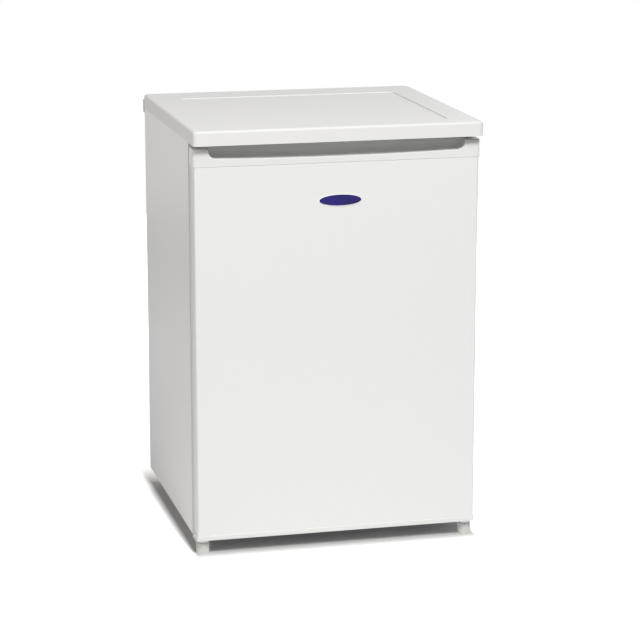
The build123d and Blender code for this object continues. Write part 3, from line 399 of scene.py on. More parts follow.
@dataclass(frozen=True)
class ZincSheet(Finish):
    """Galvanised steel with its frozen zinc flowers."""

    colour: Colour
    roughness: float = 0.38
    spread: Span = (0.0, 0.18)
    metallic: float = 0.9
    tones: Span = (0.84, 1.05)
    flower_size: float = 0.012
    flower_depth: float = 0.00003
    grain_size: float = 0.004
    grain_depth: float = 0.00002

    def material(self) -> bpy.types.Material:
        """Builds the material.

        Returns:
            The material, with its nodes in place.
        """
        recipe = Recipe(self.name)
        recipe.set(Metallic=self.metallic)
        split = recipe.nodes.new("ShaderNodeSeparateColor")
        recipe.links.new(recipe.cells(self.flower_size, output="Color"), split.inputs["Color"])
        flower = split.outputs["Red"]
        recipe.mottle(flower, self.colour, self.tones)
        recipe.roughen(flower, self.roughness, self.spread, (0.0, 1.0))
        borders = recipe.cells(self.flower_size, "DISTANCE_TO_EDGE")
        grain = recipe.noise(self.grain_size, detail=3.0)
        recipe.relief((borders, self.flower_depth), (grain, self.grain_depth))
        return recipe.material


@dataclass(frozen=True)
class BareMetal(Finish):
    """Metal without paint: turned, rolled, drawn or cast."""

    colour: Colour
    roughness: float = 0.3
    tarnish: Colour = (0.4, 0.38, 0.34)
    tarnish_share: float = 0.15
    line_factors: Point = (1.0, 1.0, 14.0)
    spread: Span = (-0.06, 0.08)
    tarnish_size: float = 0.02
    tarnish_span: Span = (0.45, 0.75)
    line_size: float = 0.004
    line_span: Span = (0.25, 0.75)
    line_depth: float = 0.000012

    def material(self) -> bpy.types.Material:
        """Builds the material.

        Returns:
            The material, with its nodes in place.
        """
        recipe = Recipe(self.name)
        recipe.set(Metallic=1.0)
        stain = recipe.level(recipe.noise(self.tarnish_size, detail=4.0), self.tarnish_span, (0.0, self.tarnish_share))
        recipe.tint(stain, self.colour, self.tarnish)
        lines = recipe.noise(self.line_size, factors=self.line_factors)
        recipe.roughen(lines, self.roughness, self.spread, self.line_span)
        recipe.relief((lines, self.line_depth))
        return recipe.material


@dataclass(frozen=True)
class DippedEnamel(Finish):
    """Thick black paint with runs and dust in it, as on a compressor and its condenser."""

    colour: Colour
    roughness: float = 0.34
    dust: Colour = (0.16, 0.15, 0.14)
    dust_share: float = 0.35
    dust_span: Span = (0.4, 1.0)
    spread: Span = (0.0, 0.15)
    grime_size: float = 0.012
    run_size: float = 0.02
    run_factors: Point = (1.0, 1.0, 0.35)
    run_depth: float = 0.0003
    pit_size: float = 0.0015
    pit_depth: float = 0.00003

    def material(self) -> bpy.types.Material:
        """Builds the material.

        Returns:
            The material, with its nodes in place.
        """
        recipe = Recipe(self.name)
        settled = recipe.level(recipe.upward(), self.dust_span, (0.0, self.dust_share))
        grime = recipe.noise(self.grime_size, detail=4.0)
        recipe.tint(recipe.arithmetic("MULTIPLY", settled, grime), self.colour, self.dust)
        recipe.roughen(grime, self.roughness, self.spread)
        runs = recipe.noise(self.run_size, factors=self.run_factors)
        recipe.relief((runs, self.run_depth), (recipe.noise(self.pit_size, detail=1.0), self.pit_depth))
        return recipe.material


@dataclass(frozen=True)
class SoftRubber(Finish):
    """Rubber or soft vinyl, matt with a light bloom."""

    colour: Colour
    bloom: Colour
    roughness: float = 0.6
    spread: Span = (0.0, 0.15)
    specular: float = 0.3
    sheen: float = 0.15
    bloom_share: float = 0.6
    bloom_size: float = 0.015
    bloom_span: Span = (0.45, 0.8)
    pit_size: float = 0.0012
    pit_depth: float = 0.00003

    def material(self) -> bpy.types.Material:
        """Builds the material.

        Returns:
            The material, with its nodes in place.
        """
        recipe = Recipe(self.name)
        recipe.set(Specular_IOR_Level=self.specular, Sheen_Weight=self.sheen)
        shares = (0.0, self.bloom_share)
        bloom = recipe.level(recipe.noise(self.bloom_size, detail=4.0), self.bloom_span, shares)
        recipe.tint(bloom, self.colour, self.bloom)
        recipe.roughen(bloom, self.roughness, self.spread, shares)
        recipe.relief((recipe.noise(self.pit_size), self.pit_depth))
        return recipe.material


@dataclass(frozen=True)
class GlassEnamel(Finish):
    """Deep coloured enamel of the badge, under a clear dome."""

    centre: Colour
    edge: Colour
    roughness: float = 0.12
    spread: Span = (0.0, 0.08)
    specular: float = 0.2
    coat: float = 0.3
    coat_roughness: float = 0.05
    cloud_size: float = 0.02
    cloud_span: Span = (0.35, 0.65)
    haze_size: float = 0.004
    wave_size: float = 0.006
    wave_depth: float = 0.00001

    def material(self) -> bpy.types.Material:
        """Builds the material.

        Returns:
            The material, with its nodes in place.
        """
        recipe = Recipe(self.name)
        recipe.set(Coat_Weight=self.coat, Coat_Roughness=self.coat_roughness, Specular_IOR_Level=self.specular)
        cloud = recipe.level(recipe.noise(self.cloud_size), self.cloud_span, (0.0, 1.0))
        recipe.tint(cloud, self.edge, self.centre)
        recipe.roughen(recipe.noise(self.haze_size), self.roughness, self.spread)
        recipe.relief((recipe.noise(self.wave_size, detail=1.0), self.wave_depth))
        return recipe.material


@dataclass(frozen=True)
class RigidFoam(Finish):
    """Poured polyurethane, cream and finely celled."""

    colour: Colour
    roughness: float = 0.9
    specular: float = 0.2
    tones: Span = (0.8, 1.0)
    cell_size: float = 0.0014
    cell_depth: float = 0.0003

    def material(self) -> bpy.types.Material:
        """Builds the material.

        Returns:
            The material, with its nodes in place.
        """
        recipe = Recipe(self.name)
        recipe.set(Specular_IOR_Level=self.specular, Roughness=self.roughness)
        cells = recipe.cells(self.cell_size)
        recipe.mottle(cells, self.colour, self.tones)
        recipe.relief((cells, self.cell_depth))
        return recipe.material


WORKTOP_WHITE: Colour = (0.785, 0.782, 0.768)
FINISHES: tuple[Finish, ...] = (
    BakedPaint("white_steel", (0.80, 0.80, 0.785)),
    MouldedPlastic("worktop_plastic", WORKTOP_WHITE, 0.5, 0.0009, 0.00002),
    MouldedPlastic("worktop_laminate", WORKTOP_WHITE, 0.46, 0.0012, 0.00002),
    MouldedPlastic("door_trim_plastic", (0.775, 0.775, 0.76), 0.34, 0.0006, 0.000008),
    MouldedPlastic("grey_plastic", (0.52, 0.52, 0.5), 0.5),
    MouldedPlastic("trim_plastic", (0.8, 0.8, 0.79), 0.28, 0.0006, 0.000006),
    MouldedPlastic("knob_plastic", (0.72, 0.73, 0.74), 0.25, 0.0006, 0.000006),
    MouldedPlastic("switch_plastic", (0.78, 0.78, 0.76), 0.4),
    MouldedPlastic("foot_plastic", (0.66, 0.66, 0.63), 0.45),
    MouldedPlastic("black_plastic", (0.025, 0.025, 0.026), 0.45, 0.001, 0.00003),
    VacuumFormedSheet("liner_plastic", (0.82, 0.82, 0.81)),
    ClearPlastic("clear_plastic", (0.91, 0.955, 0.97)),
    FloatGlass("shelf_glass", (0.95, 0.98, 0.97), (0.32, 0.62, 0.5)),
    FloatGlass("bulb_glass", (0.95, 0.95, 0.93), (0.93, 0.93, 0.9)),
    ZincSheet("zinc_sheet", (0.55, 0.56, 0.57)),
    BareMetal("evaporator_aluminium", (0.78, 0.79, 0.8), 0.35, line_factors=(1.0, 1.0, 6.0)),
    BareMetal("pump_iron", (0.28, 0.28, 0.28), 0.6, (0.2, 0.13, 0.09), 0.5, EVEN),
    BareMetal("screw_steel", (0.62, 0.61, 0.57), 0.3, (0.45, 0.4, 0.25), 0.3),
    BareMetal("pin_steel", (0.56, 0.56, 0.56), 0.28),
    BareMetal("brass_insert", (0.76, 0.58, 0.26), 0.3, (0.3, 0.22, 0.1), 0.3),
    BareMetal("copper_tube", (0.72, 0.36, 0.22), 0.33, (0.28, 0.15, 0.09), 0.6),
    BareMetal("chrome_rim", (0.86, 0.87, 0.88), 0.12, (0.8, 0.8, 0.8), 0.1, EVEN),
    DippedEnamel("black_painted_steel", (0.012, 0.012, 0.013), 0.3),
    DippedEnamel("black_painted_tube", (0.016, 0.016, 0.017), 0.42),
    SoftRubber("grommet_rubber", (0.03, 0.03, 0.03), (0.09, 0.09, 0.09)),
    SoftRubber("gasket_rubber", (0.7, 0.7, 0.68), (0.76, 0.76, 0.74), 0.5),
    GlassEnamel("badge_blue", (0.012, 0.006, 0.16), (0.008, 0.004, 0.09)),
    RigidFoam("foam", (0.8, 0.68, 0.42)),
)


class Paintshop:
    """Makes each finish once and puts it on nodes and pieces."""

    def __init__(self) -> None:
        """Starts with no finish made."""
        self.finishes = {finish.name: finish for finish in FINISHES}
        self.made: dict[str, bpy.types.Material] = {}

    def finish(self, slot: str) -> bpy.types.Material:
        """Looks a finish up by its slot.

        Args:
            slot: Name of the finish.

        Returns:
            Its material, made on first use.
        """
        if slot not in self.made:
            self.made[slot] = self.finishes[slot].material()
        return self.made[slot]

    def dress_nodes(self) -> None:
        """Gives every node of the frame the finish of its slot in the record."""
        for part in frame["record"]["subparts"]:
            node, slot = part["node"], part["material_slot"]
            for place in frame["nodes"][node].material_slots:
                place.material = self.finish(slot)
            log.info("node %s wears %s", node, slot)

    def add_piece(
        self,
        shape: Shape,
        name: str,
        slots: Sequence[str],
        body: Body,
        replaces: Sequence[str] = (),
        smooth: float = 40.0,
        open_top: bool = False,
    ) -> bpy.types.Object:
        """Turns a finished shape into a piece of the object.

        Args:
            shape: The shape, in place, in metres. It is freed.
            name: Name of the piece.
            slots: Finishes in the order of the shape's material indices.
            body: Body that the piece rides on.
            replaces: Nodes that the piece stands for.
            smooth: Edges sharper than this many degrees stay sharp.
            open_top: Whether the shape is a bin without its wall's thickness, whose floor looks down.

        Returns:
            The piece.
        """
        bmesh.ops.remove_doubles(shape, verts=shape.verts, dist=MERGE_DISTANCE)
        bmesh.ops.recalc_face_normals(shape, faces=shape.faces)
        if open_top and min(shape.faces, key=lambda face: face.calc_center_median().z).normal.z > 0:
            bmesh.ops.reverse_faces(shape, faces=shape.faces)
        mesh = bpy.data.meshes.new(name)
        shape.to_mesh(mesh)
        shape.free()
        for slot in slots:
            mesh.materials.append(self.finish(slot))
        mesh.shade_smooth()
        mesh.set_sharp_from_angle(angle=math.radians(smooth))
        piece = bpy.data.objects.new(name, mesh)
        bpy.context.scene.collection.objects.link(piece)
        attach(piece, body.value)
        if replaces:
            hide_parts(*replaces)
        log.info("piece %s rides on %s", name, body.value)
        return piece


def box_shape(low: Point, high: Point) -> Shape:
    """Block between two corners.

    Args:
        low: Lowest corner.
        high: Highest corner.

    Returns:
        A new shape that holds the block.
    """
    shape = bmesh.new()
    bmesh.ops.create_cube(shape, size=1.0)
    span = Vector(high) - Vector(low)
    bmesh.ops.scale(shape, vec=span, verts=shape.verts)
    bmesh.ops.translate(shape, vec=(Vector(high) + Vector(low)) / 2, verts=shape.verts)
    return shape


def round_edges(shape: Shape, edges: Sequence[bmesh.types.BMEdge], radius: float, segments: int) -> None:
    """Rounds edges of a shape.

    Args:
        shape: The shape.
        edges: Its edges to round.
        radius: Radius in metres.
        segments: Number of faces across the rounding.
    """
    bmesh.ops.bevel(
        shape, geom=list(edges), offset=radius, offset_type="OFFSET", segments=segments,
        profile=0.5, affect="EDGES", clamp_overlap=True, material=-1,
    )


def along(edge: bmesh.types.BMEdge, axis: int) -> bool:
    """Whether an edge runs along an axis."""
    run = edge.verts[1].co - edge.verts[0].co
    return abs(run[axis]) > STRAIGHT_SHARE * run.length


def stand(shape: Shape, axis: str, turn: float, place: Point) -> None:
    """Turns a shape about the origin and moves it to its place.

    Args:
        shape: The shape.
        axis: Name of the axis that it turns about.
        turn: Turn in degrees.
        place: Where the origin goes.
    """
    matrix = Matrix.Rotation(math.radians(turn), 3, axis)
    bmesh.ops.rotate(shape, cent=(0, 0, 0), matrix=matrix, verts=shape.verts)
    bmesh.ops.translate(shape, vec=place, verts=shape.verts)


def merge(target: Shape, part: Shape) -> None:
    """Adds one shape to another.

    Args:
        target: The shape that grows.
        part: The shape that is added and freed.
    """
    carrier = bpy.data.meshes.new("carrier")
    part.to_mesh(carrier)
    part.free()
    target.from_mesh(carrier)
    bpy.data.meshes.remove(carrier)


def close_openings(shape: Shape) -> None:
    """Fills every open outline of a shape with a face."""
    bmesh.ops.holes_fill(shape, edges=[edge for edge in shape.edges if edge.is_boundary], sides=0)


class Piece:
    """A new piece of the object, built over the frame."""

    def build(self, shop: Paintshop) -> None:
        """Builds the piece."""
        raise NotImplementedError


@dataclass
class Badge(Piece):
    """Bare oval badge on the door: an enamel dome in a bright rim."""

    rim: float = 0.0013
    bead: float = 0.0003
    groove: float = 0.00025
    skirt_share: float = 0.7
    bead_share: float = 0.14
    crown_share: float = 0.16
    dome_share: float = 0.98
    rings: int = 6
    segments: int = 96

    def build(self, shop: Paintshop) -> None:
        """Builds the badge over its node.

        Args:
            shop: Gives the finishes.
        """
        low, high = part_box("badge_plate")
        thickness = high.y - low.y
        shape = bmesh.new()
        bmesh.ops.create_circle(shape, cap_ends=True, segments=self.segments, radius=1.0)
        half = Vector(((high.x - low.x) / 2, (high.z - low.z) / 2, 1.0))
        bmesh.ops.scale(shape, vec=half, verts=shape.verts)
        face = next(iter(shape.faces))
        for before, after, rise in (
            (0.0, 0.0, thickness * self.skirt_share),
            (0.0, self.bead, thickness * self.bead_share),
            (self.bead, self.rim - self.bead, 0.0),
            (self.rim - self.bead, self.rim, -self.groove),
        ):
            face = self.step(shape, face, half, before, after, rise, 1)
        reach, crown = half.y - self.rim, thickness * self.crown_share + self.groove
        taken = self.rim
        for ring in range(self.rings):
            near, far = (math.cos(math.pi / 2 * (ring + step) / self.rings) for step in (0, 1))
            rise = crown * (math.sin(math.acos(far)) - math.sin(math.acos(near)))
            inwards = reach * (near - far) * self.dome_share
            face = self.step(shape, face, half, taken, taken + inwards, rise, 0)
            taken += inwards
        close_openings(shape)
        stand(shape, "X", 90.0, ((low.x + high.x) / 2, high.y, (low.z + high.z) / 2))
        slots = ["badge_blue", "chrome_rim"]
        shop.add_piece(shape, "badge_oval", slots, Body.DOOR, ["badge_plate"], smooth=35.0)

    def step(
        self, shape: Shape, face: bmesh.types.BMFace, half: Vector,
        before: float, after: float, rise: float, finish: int,
    ) -> bmesh.types.BMFace:
        """Grows the oval by one ring.

        Args:
            shape: The badge.
            face: Its topmost face.
            half: Half the badge's length and height.
            before: How far that face is inside the outline.
            after: How far the next one is.
            rise: Height of the ring.
            finish: Material index of the ring.

        Returns:
            The new topmost face.
        """
        grown = bmesh.ops.extrude_discrete_faces(shape, faces=[face])["faces"][0]
        for edge in grown.edges:
            for side in edge.link_faces:
                side.material_index = finish
        factors = ((half.x - after) / (half.x - before), (half.y - after) / (half.y - before), 1.0)
        bmesh.ops.scale(shape, vec=factors, verts=list(grown.verts))
        bmesh.ops.translate(shape, vec=(0, 0, rise), verts=list(grown.verts))
        return grown


@dataclass
class DoorSeal(Piece):
    """Magnetic gasket: a soft bellows and its magnet bulb, mitred round the door."""

    profile: tuple[Span, ...] = (
        (0.0, 0.0), (0.0004, 0.0008), (0.0014, 0.0013), (0.0006, 0.0020), (0.0009, 0.0032),
        (0.0022, 0.0037), (0.0050, 0.0035), (0.0078, 0.0037), (0.0100, 0.0035), (0.0106, 0.0025),
        (0.0096, 0.0018), (0.0112, 0.0013), (0.0130, 0.0008), (0.0130, 0.0),
    )
    corner: float = 0.004
    corner_faces: int = 5

    def build(self, shop: Paintshop) -> None:
        """Builds the seal over its node, from its inset and depth along the profile.

        Args:
            shop: Gives the finishes.
        """
        low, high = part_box("door_gasket")
        width, height = high.x - low.x, high.z - low.z
        shape = bmesh.new()
        bmesh.ops.create_grid(shape, x_segments=1, y_segments=1, size=0.5)
        bmesh.ops.scale(shape, vec=(width, height, 1.0), verts=shape.verts)
        bmesh.ops.bevel(
            shape, geom=shape.verts[:], offset=self.corner, offset_type="OFFSET",
            segments=self.corner_faces, profile=0.5, affect="VERTICES", material=-1,
        )
        bmesh.ops.delete(shape, geom=shape.faces[:], context="FACES_ONLY")
        first = shape.edges[:]
        loop = first
        inset, depth = self.profile[0]
        for next_inset, next_depth in self.profile[1:]:
            grown = bmesh.ops.extrude_edge_only(shape, edges=loop)["geom"]
            verts = [item for item in grown if isinstance(item, bmesh.types.BMVert)]
            loop = [item for item in grown if isinstance(item, bmesh.types.BMEdge)]
            factors = [(side - 2 * next_inset) / (side - 2 * inset) for side in (width, height)]
            bmesh.ops.scale(shape, vec=(*factors, 1.0), verts=verts)
            bmesh.ops.translate(shape, vec=(0, 0, next_depth - depth), verts=verts)
            inset, depth = next_inset, next_depth
        bmesh.ops.bridge_loops(shape, edges=first + loop)
        stand(shape, "X", -90.0, ((low.x + high.x) / 2, low.y, (low.z + high.z) / 2))
        shop.add_piece(shape, "door_seal", ["gasket_rubber"], Body.DOOR, ["door_gasket"], smooth=50.0)


@dataclass
class Bin(Piece):
    """Open moulded bin with rounded corners, a stepped rim and a panelled front."""

    name: str
    node: str
    body: Body
    front: int
    corner: float = 0.010
    corner_faces: int = 6
    sole: float = 0.006
    sole_faces: int = 4
    wall: float = 0.0025
    draft: float = 0.006
    side_draft: float = 0.0024
    rim_height: float = 0.007
    rim_step: float = 0.0012
    panel_margin: float = 0.014
    panel_step: float = 0.0012
    panel_depth: float = 0.0009
    clearance: float = 0.0005
    edge_radius: float = 0.0005
    edge_faces: int = 2
    edge_angle: float = 50.0
    least_wall: float = 0.002
    least_facing: float = 0.95

    def build(self, shop: Paintshop) -> None:
        """Builds the bin over its node.

        Args:
            shop: Gives the finishes.
        """
        low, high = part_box(self.node)
        inset = self.rim_step + self.clearance
        low = low + Vector((inset, inset, self.clearance))
        high = high - Vector((inset, inset, 0.0))
        shape = box_shape(low, high)
        round_edges(shape, [edge for edge in shape.edges if along(edge, 2)], self.corner, self.corner_faces)
        base = min(shape.faces, key=lambda face: face.calc_center_median().z)
        round_edges(shape, list(base.edges), self.sole, self.sole_faces)
        lid = max(shape.faces, key=lambda face: face.calc_center_median().z)
        bmesh.ops.delete(shape, geom=[lid], context="FACES_ONLY")
        rim_low = high.z - self.rim_height
        for level in (rim_low, rim_low + self.rim_step):
            whole = shape.verts[:] + shape.edges[:] + shape.faces[:]
            bmesh.ops.bisect_plane(shape, geom=whole, plane_co=(0, 0, level), plane_no=(0, 0, 1))
        self.taper(shape, (low + high) / 2, (high - low) / 2, rim_low)
        wall = [face for face in shape.faces if self.is_front(face, rim_low)]
        bmesh.ops.inset_region(shape, faces=wall, thickness=self.panel_margin, use_even_offset=True)
        bmesh.ops.inset_region(shape, faces=wall, thickness=self.panel_step, depth=-self.panel_depth)
        slots, replaces = ["clear_plastic"], [self.node]
        piece = shop.add_piece(shape, self.name, slots, self.body, replaces, smooth=35.0, open_top=True)
        thick = piece.modifiers.new("wall", "SOLIDIFY")
        thick.thickness = self.wall
        thick.offset = -1.0
        soft = piece.modifiers.new("moulded_edges", "BEVEL")
        soft.width = self.edge_radius
        soft.segments = self.edge_faces
        soft.limit_method = "ANGLE"
        soft.angle_limit = math.radians(self.edge_angle)

    def taper(self, shape: Shape, centre: Vector, half: Vector, rim_low: float) -> None:
        """Steps the rim out and leans the walls in towards the floor.

        Args:
            shape: The open bin.
            centre: Middle of its box.
            half: Half of its size.
            rim_low: Height of the rim's lower edge.
        """
        rim = [vert for vert in shape.verts if vert.co.z > rim_low + self.rim_step / 2]
        wider = Vector((1 + self.rim_step / half.x, 1 + self.rim_step / half.y, 1.0))
        bmesh.ops.scale(shape, vec=wider, space=Matrix.Translation(-centre), verts=rim)
        for vert in shape.verts:
            share = max(0.0, (rim_low - vert.co.z) / (2 * half.z))
            vert.co.x -= math.copysign(self.side_draft * share, vert.co.x)
            if (vert.co.y - centre.y) * self.front > 0:
                vert.co.y -= self.front * self.draft * share

    def is_front(self, face: bmesh.types.BMFace, top: float) -> bool:
        """Picks out the flat front wall below the rim.

        Args:
            face: A face of the bin.
            top: Height of the rim's lower edge.

        Returns:
            Whether the face is part of that wall.
        """
        face.normal_update()
        facing = face.normal.y * self.front > self.least_facing
        return facing and face.calc_area() > self.least_wall and face.calc_center_median().z < top


@dataclass
class LampLens(Piece):
    """Ribbed lens in front of the lamp."""

    ribs: int = 14
    rib_depth: float = 0.0009
    border: float = 0.004
    edge_radius: float = 0.0004
    edge_faces: int = 2
    edge_angle: float = 80.0

    def build(self, shop: Paintshop) -> None:
        """Builds the lens over its node.

        Args:
            shop: Gives the finishes.
        """
        low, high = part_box("lamp_cover")
        shape = box_shape(low + Vector((self.rib_depth, 0, 0)), high)
        window = min(shape.faces, key=lambda face: face.calc_center_median().x)
        bmesh.ops.inset_region(shape, faces=[window], thickness=self.border, depth=0.0)
        lines = [edge for edge in window.edges if along(edge, 1)]
        split = bmesh.ops.subdivide_edges(shape, edges=lines, cuts=self.ribs * 2 - 1)
        cuts = [item for item in split["geom_inner"] if isinstance(item, bmesh.types.BMVert)]
        peaks = sorted({round(vert.co.y, 6) for vert in cuts})[0::2]
        for vert in cuts:
            if round(vert.co.y, 6) in peaks:
                vert.co.x -= self.rib_depth
        sharp = math.radians(self.edge_angle)
        outline = [edge for edge in shape.edges if edge.is_manifold and edge.calc_face_angle() > sharp]
        round_edges(shape, outline, self.edge_radius, self.edge_faces)
        shop.add_piece(shape, "lamp_lens", ["clear_plastic"], Body.CABINET, ["lamp_cover"], smooth=15.0)


@dataclass
class DialMarks(Piece):
    """Raised marks of growing length round the thermostat's knob."""

    marks: int = 8
    turn_step: float = 38.5
    ring: float = 0.0205
    width: float = 0.0014
    shortest: float = 0.0018
    growth: float = 0.0007
    rise: float = 0.0005
    corner: float = 0.00042
    corner_faces: int = 2

    def build(self, shop: Paintshop) -> None:
        """Builds the marks on the thermostat's housing.

        Args:
            shop: Gives the finishes.
        """
        low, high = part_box("thermostat_knob")
        centre = Vector((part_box("thermostat_housing")[0].x, (low.y + high.y) / 2, (low.z + high.z) / 2))
        marks = bmesh.new()
        for step in range(self.marks):
            tip = self.ring + self.shortest + self.growth * step
            mark = box_shape((-self.rise, -self.width / 2, self.ring), (self.rise, self.width / 2, tip))
            round_edges(mark, [edge for edge in mark.edges if along(edge, 0)], self.corner, self.corner_faces)
            stand(mark, "X", step * self.turn_step, centre)
            merge(marks, mark)
        shop.add_piece(marks, "dial_marks", ["badge_blue"], Body.CABINET)


@dataclass
class ColdWall(Piece):
    """The liner's back wall where the evaporator shows through as soft bars."""

    bar_pitch: float = 0.044
    bar_depth: float = 0.0012
    bar_softness: float = 0.62
    first_bar: float = 0.020
    fade: float = 0.03
    liner_sheet: float = 0.0012
    gap: float = 0.0002
    edge: float = 0.0006
    columns: int = 24
    rows: int = 132

    def build(self, shop: Paintshop) -> None:
        """Builds the moulded relief in front of the liner's back wall.

        Args:
            shop: Gives the finishes.
        """
        low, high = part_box("evaporator")
        shape = bmesh.new()
        bmesh.ops.create_grid(shape, x_segments=self.columns, y_segments=self.rows, size=0.5)
        bmesh.ops.scale(shape, vec=(high.x - low.x, high.z - low.z, 1.0), verts=shape.verts)
        wall = low.y - self.liner_sheet + self.gap
        stand(shape, "X", 90.0, ((low.x + high.x) / 2, wall, (low.z + high.z) / 2))
        for vert in shape.verts:
            vert.co.y -= self.rise(vert.co, low, high)
        rim = [edge for edge in shape.edges if edge.is_boundary]
        grown = bmesh.ops.extrude_edge_only(shape, edges=rim)["geom"]
        back = [item for item in grown if isinstance(item, bmesh.types.BMVert)]
        bmesh.ops.translate(shape, vec=(0, self.edge, 0), verts=back)
        close_openings(shape)
        shop.add_piece(shape, "cold_wall_relief", ["liner_plastic"], Body.CABINET, smooth=60.0)

    def rise(self, place: Vector, low: Vector, high: Vector) -> float:
        """Height of the relief at a place, soft towards its outline.

        Args:
            place: The place.
            low: Lowest corner of the evaporator.
            high: Highest corner of the evaporator.

        Returns:
            The height in metres.
        """
        margin = min(place.x - low.x, high.x - place.x, place.z - low.z, high.z - place.z)
        share = min(1.0, max(0.0, margin / self.fade))
        soft = share * share * (3 - 2 * share)
        phase = 2 * math.pi * (place.z - high.z + self.first_bar) / self.bar_pitch
        return self.bar_depth * soft * (0.5 + 0.5 * math.cos(phase)) ** self.bar_softness


@dataclass
class ServiceTube(Piece):
    """Copper filling tube of the compressor, pinched flat and soldered shut."""

    radius: float = 0.003
    neck: float = 0.0258
    slope: float = 0.0072
    flat: float = 0.012
    flat_width: float = 1.35
    flat_thickness: float = 0.22
    tip: float = 0.0006
    tip_width: float = 0.8
    tip_thickness: float = 0.5
    root_depth: float = 0.0165
    height_share: float = 0.3337
    segments: int = 20

    def build(self, shop: Paintshop) -> None:
        """Builds the tube on the compressor's left end.

        Args:
            shop: Gives the finishes.
        """
        low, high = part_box("compressor_shell")
        root = (low.x + self.root_depth, (low.y + high.y) / 2, low.z + (high.z - low.z) * self.height_share)
        shape = bmesh.new()
        bmesh.ops.create_circle(shape, cap_ends=True, segments=self.segments, radius=self.radius)
        end = next(iter(shape.faces))
        stages = (
            (self.neck, 1.0, 1.0),
            (self.slope, self.flat_width, self.flat_thickness),
            (self.flat, 1.0, 1.0),
            (self.tip, self.tip_width, self.tip_thickness),
        )
        for advance, width, thickness in stages:
            end = bmesh.ops.extrude_discrete_faces(shape, faces=[end])["faces"][0]
            rim = list(end.verts)
            bmesh.ops.translate(shape, vec=(0, 0, advance), verts=rim)
            bmesh.ops.scale(shape, vec=(width, thickness, 1.0), verts=rim)
        close_openings(shape)
        stand(shape, "Y", -90.0, root)
        shop.add_piece(shape, "service_tube", ["copper_tube"], Body.CABINET)


@dataclass(frozen=True)
class Lamp:
    """One soft area lamp of the studio."""

    name: str
    place: Point
    target: Point
    size: float
    power: float
    colour: Colour = (1.0, 1.0, 1.0)

    def build(self) -> None:
        """Adds the lamp to the scene."""
        data = bpy.data.lights.new(self.name, "AREA")
        data.shape = "DISK"
        data.size = self.size
        data.energy = self.power
        data.color = self.colour
        lamp = bpy.data.objects.new(self.name, data)
        lamp.location = self.place
        lamp.rotation_euler = (Vector(self.target) - Vector(self.place)).to_track_quat("-Z", "Y").to_euler()
        bpy.context.scene.collection.objects.link(lamp)


